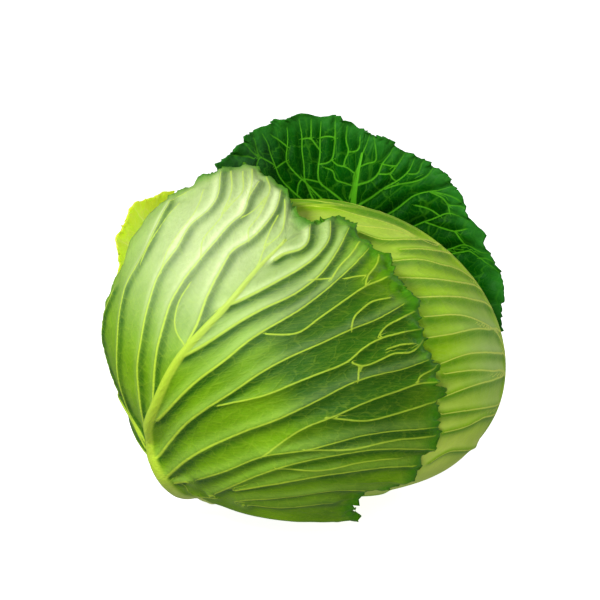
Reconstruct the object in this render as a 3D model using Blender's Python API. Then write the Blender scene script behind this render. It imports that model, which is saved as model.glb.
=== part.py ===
"""A head of cabbage with loose outer leaves, resting on its side of the base: metres, +Z up, front towards -Y."""
import math

import bmesh
import bpy
import numpy as np

# Driving dimensions, in metres and degrees
HEAD_HALF_WIDTH = 0.088
HEAD_HALF_DEPTH = 0.085
HEAD_HALF_HEIGHT = 0.067
HEAD_LEAN = 13.0
FLOOR_BELOW_HEAD = 0.0747
VIEW_RISE = 14.0
STALK_RADIUS = 0.0135
STALK_LENGTH = 0.0165
STALK_DIRECTION = (-0.50, 0.10, -0.86)
BLADE_THICKNESS = 0.0010
PACKED_GAP = 0.0003
HEAD_LEAF_LEVELS = (0.0021, 0.0051, 0.0083)
PRESSED_SHARE = 0.75
FLAT_DIRECTION = (0.25, -0.45, -0.86)
FLAT_DEPTH = 0.0060
FLAT_SPREAD = 18.0
MM = 0.001


def unit(v):
    """A vector of length one."""
    v = np.asarray(v, float)
    return v / np.linalg.norm(v)


LEAN = math.radians(HEAD_LEAN)
HEAD_AXES = np.array([[math.cos(LEAN), 0, -math.sin(LEAN)], [0, 1, 0], [math.sin(LEAN), 0, math.cos(LEAN)]])
HEAD_HALVES = np.array([HEAD_HALF_WIDTH, HEAD_HALF_DEPTH, HEAD_HALF_HEIGHT])
STALK = unit(STALK_DIRECTION)
FLATTER = unit(FLAT_DIRECTION)


def head_point(direction, height):
    """The point that stands off the packed head by height, in a direction from its centre."""
    local = direction @ HEAD_AXES.T
    away = np.degrees(np.arccos(np.clip(direction @ FLATTER, -1, 1)))
    height = height - FLAT_DEPTH * np.exp(-0.5 * (away / FLAT_SPREAD) ** 2)
    point = local * HEAD_HALVES
    normal = local / HEAD_HALVES
    normal = normal / np.linalg.norm(normal, axis=-1, keepdims=True)
    return (point + normal * np.asarray(height)[..., None]) @ HEAD_AXES


def leaf_frame(centre, up=(0, 0, 1)):
    """Right, up and outward directions of a leaf laid out round one direction of the head."""
    out = unit(centre)
    right = unit(np.cross(up, out))
    return right, np.cross(out, right), out


def direction_of(frame, x, y):
    """The direction that lies x degrees right and y degrees up of the frame's centre."""
    right, up, out = frame
    x = np.radians(x)
    y = np.radians(y)
    r = np.hypot(x, y)
    k = np.where(r > 1e-9, np.sin(r) / np.maximum(r, 1e-9), 1.0)
    return np.cos(r)[..., None] * out + (k * x)[..., None] * right + (k * y)[..., None] * up


def degrees_of(frame, direction):
    """The x and y degrees of a direction in a frame."""
    right, up, out = frame
    r = math.degrees(math.acos(max(-1.0, min(1.0, float(direction @ out)))))
    side = np.array([direction @ right, direction @ up])
    return side / np.linalg.norm(side) * r


def by_the_stalk(frame, turn, away):
    """Degrees of the point that lies away degrees from the stalk, turned from the way towards the leaf's centre."""
    towards = unit(frame[2] - (frame[2] @ STALK) * STALK)
    across = np.cross(STALK, towards)
    if across @ frame[0] < 0:
        across = -across
    turn = math.radians(turn)
    away = math.radians(away)
    side = math.cos(turn) * towards + math.sin(turn) * across
    return degrees_of(frame, math.cos(away) * STALK + math.sin(away) * side)


def along(keys, s):
    """Values of a table (s, values) at s: a smooth curve through its rows."""
    keys = np.asarray(keys, float)
    at = keys[:, 0]
    value = keys[:, 1:]
    step = np.diff(at)[:, None]
    rise = np.diff(value, axis=0) / step
    slope = np.zeros_like(value)
    slope[0] = rise[0]
    slope[-1] = rise[-1]
    slope[1:-1] = (rise[:-1] * step[1:] + rise[1:] * step[:-1]) / (step[1:] + step[:-1])
    limit = 2.5 * np.minimum(np.abs(rise[:-1]), np.abs(rise[1:])) + 0.35 * np.maximum(np.abs(rise[:-1]), np.abs(rise[1:]))
    slope[1:-1] = np.clip(slope[1:-1], -limit, limit)
    s = np.clip(np.asarray(s, float), at[0], at[-1])
    i = np.clip(np.searchsorted(at, s, side="right") - 1, 0, len(at) - 2)
    width = (at[i + 1] - at[i])[..., None]
    u = ((s - at[i])[..., None]) / width
    h00 = 2 * u ** 3 - 3 * u ** 2 + 1
    h10 = u ** 3 - 2 * u ** 2 + u
    h01 = -2 * u ** 3 + 3 * u ** 2
    h11 = u ** 3 - u ** 2
    return h00 * value[i] + h10 * width * slope[i] + h01 * value[i + 1] + h11 * width * slope[i + 1]


def soft_noise(u, seed):
    """Smooth numbers between -1 and 1 along a line."""
    table = np.random.default_rng(seed).uniform(-1, 1, 512)
    i = np.floor(u).astype(int)
    f = u - i
    f = f * f * (3 - 2 * f)
    return table[i % 512] * (1 - f) + table[(i + 1) % 512] * f


def panel(s, veins):
    """0 on a side rib and 1 midway between two of them."""
    veins = np.asarray(veins, float)
    i = np.clip(np.searchsorted(veins, s, side="right") - 1, 0, len(veins) - 2)
    phase = np.clip((s - veins[i]) / (veins[i + 1] - veins[i]), 0, 1)
    return np.sin(math.pi * phase)


def half_rows(leaf, side, s, fractions):
    """Flat x, y and height of a grid: one row for each s, columns from the midrib to the margin."""
    middle = along(leaf["midrib"], s)
    edge = along(leaf[side], s)
    sign = 1.0 if side == "right" else -1.0
    chord = edge[:, :2] - middle[:, :2]
    length = np.linalg.norm(chord, axis=1, keepdims=True)
    tipwards = np.stack([-chord[:, 1], chord[:, 0]], axis=1) * sign / np.maximum(length, 1e-6)
    teeth = leaf["teeth"] * soft_noise(s * 2.7 + 40, leaf["seed"] + (side == "left"))
    fade = np.clip((s + 0.5) / 2, 0, 1)
    edge_xy = edge[:, :2] + chord / np.maximum(length, 1e-6) * (teeth * fade)[:, None]
    bend = (middle[:, :2] + edge_xy) / 2 + tipwards * length * 2 * edge[:, 3:4]
    t = fractions
    xy = (
        (1 - t)[..., None] ** 2 * middle[:, None, :2]
        + (2 * t * (1 - t))[..., None] * bend[:, None]
        + t[..., None] ** 2 * edge_xy[:, None]
    )
    height = middle[:, 2:3] + (edge[:, 2:3] - middle[:, 2:3]) * t ** leaf["flare"]
    ruffle = leaf["ruffle"] * soft_noise(s * 2.1 + 9, leaf["seed"] + 5 + (side == "left"))
    height = height + (ruffle * fade)[:, None] * t ** 5
    return xy, height


def leaf_points(leaf, side, s, columns):
    """Mid-surface points, rib thickness and panel depth of one half of a leaf."""
    frame = leaf["frame"]
    probe = np.tile(np.linspace(0, 1, 9), (len(s), 1))
    xy, height = half_rows(leaf, side, s, probe)
    points = head_point(direction_of(frame, xy[..., 0], xy[..., 1]), height * MM)
    length = np.linalg.norm(np.diff(points, axis=1), axis=2).sum(axis=1)
    rib = along(leaf["rib"], s)
    half_width = np.minimum(rib[:, 0] * MM, 0.62 * length)
    share = half_width / length
    near = np.array([0.0, 0.5, 1.0])
    far = np.linspace(0, 1, columns - 1)[1:]
    t = np.concatenate([share[:, None] * near[None], share[:, None] + (1 - share[:, None]) * far[None]], axis=1)
    xy, height = half_rows(leaf, side, s, t)
    bulge = np.zeros_like(t)
    bulge[:, 0] = 1.0
    bulge[:, 1] = 0.8
    bulge = bulge * (rib[:, 1] * MM)[:, None]
    veins = leaf["veins_" + side]
    depth = panel(s, veins)[:, None] * np.clip((t - share[:, None]) * 3.5, 0, 1)
    bulge = bulge + leaf["vein"] * MM * (1 - panel(s, veins))[:, None] ** 3 * (1 - 0.7 * t)
    spacing = leaf["panel"] * np.clip(length / 0.06, 0.3, 1.0)[:, None] * (0.55 + 0.45 * t)
    height = height - depth * spacing
    points = head_point(direction_of(frame, xy[..., 0], xy[..., 1]), height * MM)
    return points, bulge


def grid_faces(index, flip):
    """Two triangles for each cell of a grid of vertex numbers; the last row's first cell is cut the other way."""
    faces = []
    last = len(index) - 2
    for row, (a, b) in enumerate(zip(index[:-1], index[1:])):
        for k in range(len(a) - 1):
            if row == last:
                pair = ((a[k], a[k + 1], b[k]), (a[k + 1], b[k + 1], b[k]))
            else:
                pair = ((a[k], a[k + 1], b[k + 1]), (a[k], b[k + 1], b[k]))
            for face in pair:
                faces.append(face[::-1] if flip else face)
    return faces


def vertex_normals(points, faces):
    """Area-weighted normals of a triangle mesh."""
    normals = np.zeros_like(points)
    corner = points[faces]
    face_normal = np.cross(corner[:, 1] - corner[:, 0], corner[:, 2] - corner[:, 0])
    for k in range(3):
        np.add.at(normals, faces[:, k], face_normal)
    return normals / np.maximum(np.linalg.norm(normals, axis=1, keepdims=True), 1e-12)


def material(name, colour, roughness):
    """A plain Principled material."""
    made = bpy.data.materials.new(name)
    made.use_nodes = True
    node = made.node_tree.nodes["Principled BSDF"]
    node.inputs["Base Color"].default_value = (*colour, 1.0)
    node.inputs["Roughness"].default_value = roughness
    node.inputs["Metallic"].default_value = 0.0
    made.diffuse_color = (*colour, 1.0)
    return made


def mesh_object(name, points, faces, made):
    """One closed body with its faces turned outwards."""
    mesh = bpy.data.meshes.new(name)
    mesh.from_pydata([tuple(p) for p in points], [], [tuple(int(i) for i in f) for f in faces])
    shape = bmesh.new()
    shape.from_mesh(mesh)
    bmesh.ops.recalc_face_normals(shape, faces=shape.faces)
    shape.to_mesh(mesh)
    shape.free()
    mesh.materials.append(made)
    thing = bpy.data.objects.new(name, mesh)
    bpy.context.scene.collection.objects.link(thing)
    return thing


def row_values(leaf):
    """The rows of a leaf: on every side rib, and evenly between."""
    stops = sorted(set(leaf["veins_left"]) | set(leaf["veins_right"]))
    rows = list(np.linspace(-2, stops[0], leaf["base_rows"], endpoint=False))
    for a, b in zip(stops[:-1], stops[1:]):
        parts = max(1, int(round((b - a) * leaf["rows_per_rib"])))
        rows += list(np.linspace(a, b, parts, endpoint=False))
    return np.array(rows + [stops[-1]])


def make_leaf(name, leaf, made):
    """A leaf as one closed blade with its midrib, wrapped round the head."""
    s = row_values(leaf)
    columns = leaf["columns"]
    right_points, right_bulge = leaf_points(leaf, "right", s, columns)
    left_points, left_bulge = leaf_points(leaf, "left", s, columns)
    rows = len(s)
    wide = right_points.shape[1]
    right_index = np.arange(rows * wide).reshape(rows, wide)
    left_index = right_index + rows * wide
    left_index[:, 0] = right_index[:, 0]
    left_index[-1] = right_index[-1]
    points = np.concatenate([right_points.reshape(-1, 3), left_points.reshape(-1, 3)])
    bulge = np.concatenate([right_bulge.reshape(-1), left_bulge.reshape(-1)])
    faces = grid_faces(right_index, False) + grid_faces(left_index, True)
    used = np.unique(np.array(faces))
    number = np.full(len(points), -1)
    number[used] = np.arange(len(used))
    points = points[used]
    bulge = bulge[used]
    faces = number[np.array(faces)]
    normals = vertex_normals(points, faces)
    outwards = unit(points.mean(axis=0)) if leaf["frame"] is None else leaf["frame"][2]
    middle = np.argmax(points @ outwards)
    if normals[middle] @ outwards < 0:
        faces = faces[:, ::-1]
        normals = -normals
    outer = points + normals * (BLADE_THICKNESS / 2 + bulge)[:, None]
    inner = points - normals * BLADE_THICKNESS / 2
    level = leaf["level"]
    outer[:, 2] = np.maximum(outer[:, 2], level - FLOOR_BELOW_HEAD)
    inner[:, 2] = np.maximum(inner[:, 2], level - FLOOR_BELOW_HEAD + PRESSED_SHARE * BLADE_THICKNESS)
    count = len(points)
    rim = [number[i] for i in right_index[:, -1]]
    rim = rim + [number[i] for i in left_index[-2::-1, -1]]
    rim = rim + [number[i] for i in left_index[0, -2::-1]]
    rim = rim + [number[i] for i in right_index[0, 1:-1]]
    sides = []
    for a, b in zip(rim, rim[1:] + rim[:1]):
        sides.append((a, b, b + count))
        sides.append((a, b + count, a + count))
    every = [tuple(f) for f in faces] + [tuple(f[::-1] + count) for f in faces] + sides
    return mesh_object(name, np.concatenate([outer, inner]), every, made)


def base_rows(leaf, base_height, clasp):
    """Adds the rows that join a leaf to the stalk: its midrib and its clasping base."""
    frame = leaf["frame"]
    middle = by_the_stalk(frame, 0.0, 15.2)
    leaf["midrib"] = [(-2, middle[0], middle[1], base_height)] + leaf["midrib"]
    for side, sign in (("left", -1), ("right", 1)):
        x, y = by_the_stalk(frame, sign * clasp, 16.2)
        leaf[side] = [(-2, x, y, base_height, 0.09)] + leaf[side]
    return leaf


def head_leaf(centre, up, level, seed, spread, reach):
    """A leaf of the packed head: it wraps from the stalk over the head."""
    frame = leaf_frame(centre, up)
    base = by_the_stalk(frame, 0.0, 0.0)
    top = np.array([base[0] * -0.25, reach])
    names = np.array([-1.0, 1.0, 3.0, 5.0, 7.0, 8.0])
    shares = np.array([0.12, 0.30, 0.52, 0.72, 0.88, 0.94])
    midrib = []
    for s, share in zip(names, shares):
        x, y = base * (1 - share) + top * share
        midrib.append((s, x, y, level))
    left = []
    right = []
    widths = np.array([0.30, 0.80, 1.0, 0.92, 0.55, 0.0])
    lifts = np.array([0.10, 0.30, 0.56, 0.84, 1.04, 1.06])
    for s, wide, lift in zip(names, widths, lifts):
        x, y = base * (1 - lift) + top * lift
        left.append((s, x - spread * wide, y, level, 0.04))
        right.append((s, x + spread * wide, y, level, 0.04))
    leaf = dict(
        frame=frame, midrib=midrib, left=left, right=right, flare=1.5, ruffle=0.0, teeth=1.2, seed=seed, panel=0.7,
        rib=[(-2, 9.0, 1.3), (1, 6.0, 1.0), (4, 3.5, 0.7), (8, 1.5, 0.2)], vein=0.2,
        veins_left=[0, 1, 2, 3, 4, 5, 6, 7, 8], veins_right=[0, 1, 2, 3, 4, 5, 6, 7, 8],
        rows_per_rib=2, columns=7, base_rows=2, level=0.0,
    )
    return base_rows(leaf, level, 62)


TOWARDS_VIEW = np.array([0.0, -math.cos(math.radians(VIEW_RISE)), math.sin(math.radians(VIEW_RISE))])

# The large loose leaf over the front and the left, seen from its outer face
FRONT_LEAF = dict(
    frame=leaf_frame(TOWARDS_VIEW),
    midrib=[
        (-1, -55.5, -75.0, 17.0), (0, -54.0, -66.0, 18.6), (2, -53.4, -58.0, 19.6), (4, -53.8, -52.0, 19.2),
        (6, -56.0, -47.5, 17.4), (8, -58.6, -43.0, 15.2), (9, -59.6, -38.5, 13.8), (10, -57.0, -31.0, 13.7),
        (11, -48.4, -18.3, 14.0), (12, -37.5, -1.0, 14.0), (13, -22.9, 16.5, 14.0), (14, -14.0, 29.5, 15.0),
        (15, -6.0, 40.0, 16.5),
    ],
    right=[
        (-1, -42.0, -80.0, 14.0, 0.0), (-0.4, -18.0, -69.0, 12.0, 0.02), (0, 11.5, -72.5, 18.0, 0.03),
        (0.35, 14.5, -68.0, 17.0, 0.03), (0.8, 15.5, -55.0, 13.6, 0.05), (1.4, 29.0, -48.0, 13.2, 0.06),
        (2, 33.5, -41.0, 13.2, 0.07), (3, 38.0, -31.0, 13.2, 0.08),
        (4, 38.5, -21.5, 13.3, 0.09), (5, 38.1, -11.5, 13.4, 0.09), (6, 37.9, -4.5, 13.5, 0.08),
        (7, 36.5, 2.0, 13.5, 0.07), (8, 34.9, 11.0, 13.8, 0.07), (9, 32.5, 19.0, 14.0, 0.07),
        (10, 26.5, 29.0, 15.0, 0.04), (11, 21.0, 41.0, 15.6, 0.0), (12, 16.2, 49.5, 16.4, -0.04),
        (13, 9.5, 52.5, 17.0, -0.04), (14, 1.5, 49.0, 17.6, -0.02), (15, -3.4, 54.5, 19.0, 0.0),
    ],
    left=[
        (-1, -64.0, -80.0, 15.0, 0.0), (0, -78.0, -72.0, 13.8, 0.02), (2, -92.0, -58.0, 13.3, 0.03),
        (4, -98.0, -40.0, 13.9, 0.04), (6, -98.0, -20.0, 14.9, 0.03), (8, -92.0, -3.0, 15.6, -0.03),
        (8.6, -83.0, 14.0, 17.5, -0.05), (9.2, -67.0, 36.0, 20.5, -0.08), (9.7, -56.0, 59.0, 23.5, -0.10),
        (10.3, -43.0, 71.0, 24.5, -0.07), (10.7, -29.0, 75.0, 27.5, -0.06), (11, -22.5, 78.0, 28.0, -0.05),
        (12, -12.0, 70.0, 24.0, -0.03),
        (13, -5.6, 62.5, 21.0, 0.0), (14, -4.2, 57.5, 19.6, 0.0), (15, -3.4, 54.5, 19.0, 0.0),
    ],
    flare=1.7, ruffle=1.3, teeth=1.5, seed=11, panel=1.7,
    rib=[(-2, 11.0, 5.0), (0, 8.5, 4.8), (6, 7.0, 4.2), (9, 5.0, 3.2), (11, 3.6, 2.5), (13, 2.6, 1.7), (15, 1.4, 0.7)],
    vein=0.6,
    veins_right=[0, 1, 2, 3, 4, 5, 6, 7, 8, 9, 10, 11, 12, 13, 14, 15],
    veins_left=[0, 1.5, 3, 4.5, 6, 7.5, 8.5, 9.25, 9.75, 10.25, 11, 12, 13, 14, 15],
    rows_per_rib=2.6, columns=8, base_rows=4, level=0.0,
)

# The glossy tight leaf that makes the right of the head
RIGHT_LEAF = dict(
    frame=leaf_frame((1.0, 0.0, 0.0)),
    midrib=[
        (-1, 9.0, -92.0, 8.5), (0, 6.5, -78.0, 8.4), (1, 4.5, -62.0, 8.3), (2, 2.5, -46.0, 8.3),
        (3, 1.0, -31.0, 8.3), (4, 0.0, -17.0, 8.3), (5, 0.5, -4.0, 8.3), (6, 1.5, 8.0, 8.3), (7, 3.0, 19.0, 8.3),
        (8, 5.5, 30.0, 8.4), (9, 8.0, 41.0, 8.5), (10, 10.5, 53.0, 8.6), (11, 8.0, 66.0, 8.6),
        (12, -1.0, 79.0, 8.6), (13, -12.0, 91.0, 8.5),
    ],
    left=[
        (-1, -25.0, -101.0, 8.3, 0.0), (0, -50.0, -86.0, 8.3, 0.0), (1, -72.0, -66.0, 8.3, 0.0),
        (2, -80.0, -48.0, 8.3, 0.02), (3, -85.0, -32.0, 8.3, 0.02), (4, -88.0, -18.0, 8.3, 0.02),
        (5, -89.0, -5.0, 8.3, 0.02), (6, -88.0, 8.0, 8.3, 0.02), (7, -86.0, 20.0, 8.3, 0.02),
        (8, -83.0, 33.0, 8.3, 0.02), (9, -78.0, 46.0, 8.3, 0.02), (10, -69.0, 60.0, 8.3, 0.02),
        (11, -55.0, 77.0, 8.3, 0.02), (12, -38.0, 92.0, 8.3, 0.02), (13, -22.0, 101.0, 8.3, 0.0),
    ],
    right=[
        (-1, 28.0, -98.0, 8.3, 0.0), (0, 42.0, -86.0, 8.3, 0.02), (1, 52.0, -70.0, 8.3, 0.03),
        (2, 58.0, -54.0, 8.3, 0.04), (3, 62.0, -38.0, 8.3, 0.04), (4, 65.0, -22.0, 8.3, 0.04),
        (5, 67.0, -7.0, 8.3, 0.04), (6, 67.0, 8.0, 8.3, 0.04), (7, 65.0, 23.0, 8.3, 0.04),
        (8, 60.0, 38.0, 8.3, 0.04), (9, 52.0, 52.0, 8.3, 0.04), (10, 42.0, 66.0, 8.3, 0.04),
        (11, 28.0, 80.0, 8.3, 0.04), (12, 6.0, 94.0, 8.3, 0.02), (13, -22.0, 101.0, 8.3, 0.0),
    ],
    flare=1.0, ruffle=0.0, teeth=1.0, seed=23, panel=0.8,
    rib=[(-2, 10.0, 2.2), (0, 8.0, 2.0), (6, 6.5, 1.5), (10, 5.5, 1.3), (13, 2.0, 0.5)],
    vein=0.5,
    veins_right=[0, 1, 2, 3, 4, 5, 6, 7, 8, 9, 10, 11, 12, 13],
    veins_left=[0, 1, 2, 3, 4, 5, 6, 7, 8, 9, 10, 11, 12, 13],
    rows_per_rib=2, columns=9, base_rows=3, level=0.0,
)

# The dark leaf that stands up behind the head, seen from its inner face
BACK_LEAF = dict(
    frame=leaf_frame((0.1, 0.97, 0.2)),
    midrib=[
        (-1, 30.0, -68.0, 15.5), (0, 20.0, -56.0, 14.8), (1, 11.0, -42.0, 14.5), (2, 4.0, -28.0, 14.5),
        (3, -1.0, -14.0, 14.5), (4, -5.0, -1.0, 15.0), (5, -7.4, 10.0, 17.5), (6, -8.0, 18.5, 22.0),
        (7, -8.0, 25.0, 29.0), (8, -8.2, 28.8, 39.0), (9, -8.6, 31.5, 51.0),
    ],
    right=[
        (-1, 12.0, -76.0, 14.6, 0.0), (0, -10.0, -68.0, 14.5, 0.02), (1, -32.0, -56.0, 15.0, 0.03),
        (2, -46.0, -38.0, 17.5, 0.04), (3, -52.5, -20.0, 25.0, 0.04), (4, -52.4, -4.5, 34.5, 0.03),
        (4.5, -49.0, 2.5, 40.5, 0.02), (5, -42.5, 11.5, 43.0, 0.0), (6, -34.0, 21.5, 51.0, 0.0),
        (7, -24.0, 27.0, 57.0, 0.0), (8, -15.0, 31.5, 61.0, 0.0), (9, -8.7, 33.6, 63.5, 0.0),
    ],
    left=[
        (-1, 42.0, -68.0, 15.6, 0.0), (0, 49.0, -54.0, 15.4, 0.0), (1, 52.0, -38.0, 15.6, 0.0),
        (2, 52.0, -20.0, 16.5, 0.0), (3, 49.0, 0.0, 19.0, 0.0), (4, 42.0, 20.0, 24.5, 0.0),
        (5, 32.5, 35.0, 33.0, 0.0), (6, 25.5, 37.0, 45.0, 0.0), (7, 15.0, 36.0, 59.5, 0.0),
        (8, 4.0, 36.2, 67.0, 0.0), (9, -8.7, 33.6, 63.5, 0.0),
    ],
    flare=1.35, ruffle=1.6, teeth=1.4, seed=37, panel=1.9,
    rib=[(-2, 11.0, 5.0), (0, 9.0, 4.6), (3, 6.0, 3.4), (6, 3.5, 1.8), (9, 1.4, 0.5)],
    vein=0.6,
    veins_right=[-0.5, 0.5, 1.5, 2.5, 3.5, 4.5, 5.5, 6.5, 7.5, 9],
    veins_left=[0, 1, 2, 3, 4, 5, 6, 7, 8, 9],
    rows_per_rib=4, columns=8, base_rows=4, level=0.0,
)

# The bright yellow-green leaf behind the left
LEFT_LEAF = dict(
    frame=leaf_frame((-0.75, 0.6, 0.2)),
    midrib=[
        (-1, 15.0, -54.0, 10.4), (0, 12.5, -44.0, 10.4), (1, 10.0, -33.0, 10.5), (2, 8.0, -22.0, 10.5),
        (3, 6.0, -11.0, 10.8), (4, 5.0, 0.0, 12.0), (5, 4.5, 9.5, 16.0), (6, 4.5, 17.5, 21.5),
        (7, 4.5, 23.5, 27.5),
    ],
    right=[
        (-1, 30.0, -58.0, 10.3, 0.0), (0, 40.0, -44.0, 10.3, 0.02), (1, 45.0, -29.0, 10.3, 0.03),
        (2, 45.0, -14.0, 10.3, 0.03), (3, 37.0, -1.0, 10.3, 0.03), (4, 27.5, 9.5, 17.0, 0.02),
        (5, 20.5, 18.0, 27.0, 0.0), (6, 13.0, 24.5, 32.5, 0.0), (7, 4.5, 27.8, 31.0, 0.0),
    ],
    left=[
        (-1, -2.0, -64.0, 10.5, 0.0), (0, -26.0, -56.0, 10.3, 0.02), (1, -42.0, -40.0, 10.3, 0.03),
        (2, -50.0, -22.0, 10.3, 0.03), (3, -46.0, -4.0, 10.4, 0.03), (4, -35.0, 8.0, 10.5, 0.02),
        (5, -22.0, 17.5, 14.5, 0.0), (6, -8.0, 26.5, 25.0, 0.0), (7, 4.5, 27.8, 31.0, 0.0),
    ],
    flare=1.5, ruffle=1.0, teeth=1.4, seed=53, panel=1.1,
    rib=[(-2, 9.0, 1.4), (0, 7.0, 1.6), (3, 4.5, 1.8), (5, 3.0, 1.6), (7, 1.4, 0.5)],
    vein=0.4,
    veins_right=[0, 1, 2, 3, 4, 5, 6, 7],
    veins_left=[-0.5, 0.5, 1.5, 2.5, 3.5, 4.5, 5.5, 7],
    rows_per_rib=3, columns=7, base_rows=4, level=0.0,
)


def press_level(height):
    """How far above the floor a layer of the packed head is pressed."""
    outer = HEAD_LEAF_LEVELS[2] + BLADE_THICKNESS / 2
    return max(0.0, (outer - height) * PRESSED_SHARE)


def make_heart(made):
    """The packed inner leaves as one mass, with the ribs and rolled edges of its outermost ones."""
    rings = 20
    around = 40
    points = []
    rng = np.random.default_rng(7)
    centres = [unit(rng.normal(size=3) + np.array([0, 0, 0.2])) for _ in range(5)]
    for ring in range(1, rings):
        polar = math.pi * ring / rings
        for k in range(around):
            turn = 2 * math.pi * k / around
            d = np.array([math.sin(polar) * math.cos(turn), math.sin(polar) * math.sin(turn), math.cos(polar)])
            height = 0.0
            for n, centre in enumerate(centres):
                angle = math.acos(max(-1.0, min(1.0, float(d @ centre))))
                edge = 0.95 + 0.12 * math.sin(5 * turn + n)
                height += 0.22 * (1 - 1 / (1 + math.exp(-(edge - angle) * 14)))
            height = -0.4 + 0.8 * (1 - abs(math.sin(4 * turn + 1.2 * math.cos(3 * polar)))) - height
            points.append(head_point(d, np.array(height * MM)))
    top = len(points)
    points.append(head_point(np.array([0.0, 0.0, 1.0]), np.array(-0.4 * MM)))
    points.append(head_point(np.array([0.0, 0.0, -1.0]), np.array(-0.4 * MM)))
    faces = []
    for ring in range(rings - 2):
        for k in range(around):
            a = ring * around + k
            b = ring * around + (k + 1) % around
            faces.append((a, a + around, b + around))
            faces.append((a, b + around, b))
    last = (rings - 2) * around
    for k in range(around):
        faces.append((top, k, (k + 1) % around))
        faces.append((top + 1, last + (k + 1) % around, last + k))
    points = np.array(points)
    points[:, 2] = np.maximum(points[:, 2], press_level(0.0004) - FLOOR_BELOW_HEAD)
    return mesh_object("heart", points, faces, made)


def make_stalk(made):
    """The cut stump: a short round post from the packed head to just above the floor."""
    sides = 28
    foot = head_point(STALK, np.array(0.0))
    local = STALK @ HEAD_AXES.T / HEAD_HALVES
    axis = unit(local @ HEAD_AXES)
    right = unit(np.cross(axis, (0, 1, 0)))
    up = np.cross(axis, right)
    rings = []
    for reach, wide in ((0.0012, 1.0), (0.006, 0.97), (0.011, 0.99), (STALK_LENGTH - 0.0012, 1.0), (STALK_LENGTH, 0.92)):
        ring = []
        for k in range(sides):
            turn = 2 * math.pi * k / sides
            radius = STALK_RADIUS * wide * (1 + 0.025 * math.sin(3 * turn) + 0.02 * math.sin(7 * turn + 1))
            side = right * math.cos(turn) + up * math.sin(turn)
            if reach < 0.002:
                spread = unit(foot + side * radius)
                ring.append(head_point(spread, np.array(0.0012)))
            else:
                ring.append(foot + axis * reach + side * radius)
        rings.append(np.array(ring))
    points = np.concatenate(rings)
    points[:, 2] = np.maximum(points[:, 2], 0.0016 - FLOOR_BELOW_HEAD)
    inner = head_point(STALK, np.array(0.0012))
    outer = points[-sides:].mean(axis=0)
    points = np.concatenate([points, [inner, outer]])
    faces = []
    for ring in range(4):
        for k in range(sides):
            a = ring * sides + k
            b = ring * sides + (k + 1) % sides
            faces.append((a, b, b + sides))
            faces.append((a, b + sides, a + sides))
    for k in range(sides):
        faces.append((len(points) - 2, (k + 1) % sides, k))
        faces.append((len(points) - 1, 4 * sides + k, 4 * sides + (k + 1) % sides))
    return mesh_object("stalk", points, faces, made)


def build():
    """Makes every sub-part and sets the foot of the whole at the origin."""
    for old in list(bpy.data.objects):
        bpy.data.objects.remove(old, do_unlink=True)
    heart = material("heart_green", (0.55, 0.68, 0.30), 0.55)
    stump = material("stump_cream", (0.72, 0.70, 0.46), 0.65)
    head = material("head_green", (0.22, 0.40, 0.06), 0.45)
    front = material("front_green", (0.20, 0.38, 0.05), 0.50)
    dark = material("back_green", (0.03, 0.15, 0.02), 0.50)
    bright = material("left_green", (0.60, 0.74, 0.10), 0.50)
    make_heart(heart)
    make_stalk(stump)
    back_head = head_leaf((-0.25, 0.90, 0.35), (0, 0, 1), HEAD_LEAF_LEVELS[0] / MM, 3, 58.0, 92.0)
    back_head["level"] = press_level(HEAD_LEAF_LEVELS[0] + BLADE_THICKNESS / 2)
    left_head = head_leaf((-0.72, -0.55, 0.45), (0, 0, 1), HEAD_LEAF_LEVELS[1] / MM, 4, 62.0, 84.0)
    left_head["level"] = press_level(HEAD_LEAF_LEVELS[1] + BLADE_THICKNESS / 2)
    make_leaf("head_leaf_back", back_head, head)
    make_leaf("head_leaf_left", left_head, head)
    make_leaf("head_leaf_right", base_rows(RIGHT_LEAF, 8.5, 62), head)
    make_leaf("left_wrapper_leaf", base_rows(LEFT_LEAF, 10.2, 42), bright)
    make_leaf("back_wrapper_leaf", base_rows(BACK_LEAF, 16.0, 42), dark)
    make_leaf("front_wrapper_leaf", base_rows(FRONT_LEAF, 16.5, 46), front)
    low = np.array([np.inf, np.inf, np.inf])
    high = -low
    for thing in bpy.data.objects:
        for v in thing.data.vertices:
            low = np.minimum(low, v.co)
            high = np.maximum(high, v.co)
    shift = np.array([(low[0] + high[0]) / 2, (low[1] + high[1]) / 2, low[2]])
    for thing in bpy.data.objects:
        for v in thing.data.vertices:
            v.co = tuple(np.array(v.co) - shift)


build()
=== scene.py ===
"""The looks of a head of cabbage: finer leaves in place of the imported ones, with veins and waved edges."""

import math

import bpy
import numpy as np
from mathutils import Matrix, Vector, kdtree


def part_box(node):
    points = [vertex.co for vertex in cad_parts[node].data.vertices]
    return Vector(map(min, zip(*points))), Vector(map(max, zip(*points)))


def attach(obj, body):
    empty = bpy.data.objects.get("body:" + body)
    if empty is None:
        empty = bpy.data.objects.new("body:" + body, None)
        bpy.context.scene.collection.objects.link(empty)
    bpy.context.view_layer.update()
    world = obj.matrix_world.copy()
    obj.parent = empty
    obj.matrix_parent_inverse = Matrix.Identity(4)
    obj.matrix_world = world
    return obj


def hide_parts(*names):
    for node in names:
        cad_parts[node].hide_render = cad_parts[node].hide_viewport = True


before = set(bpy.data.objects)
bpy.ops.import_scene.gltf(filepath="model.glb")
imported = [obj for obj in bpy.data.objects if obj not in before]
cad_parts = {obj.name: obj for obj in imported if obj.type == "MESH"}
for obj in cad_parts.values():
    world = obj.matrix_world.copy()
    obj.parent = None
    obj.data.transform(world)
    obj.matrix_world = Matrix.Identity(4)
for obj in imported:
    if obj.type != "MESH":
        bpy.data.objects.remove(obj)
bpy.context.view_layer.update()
MM = 0.001

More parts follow.
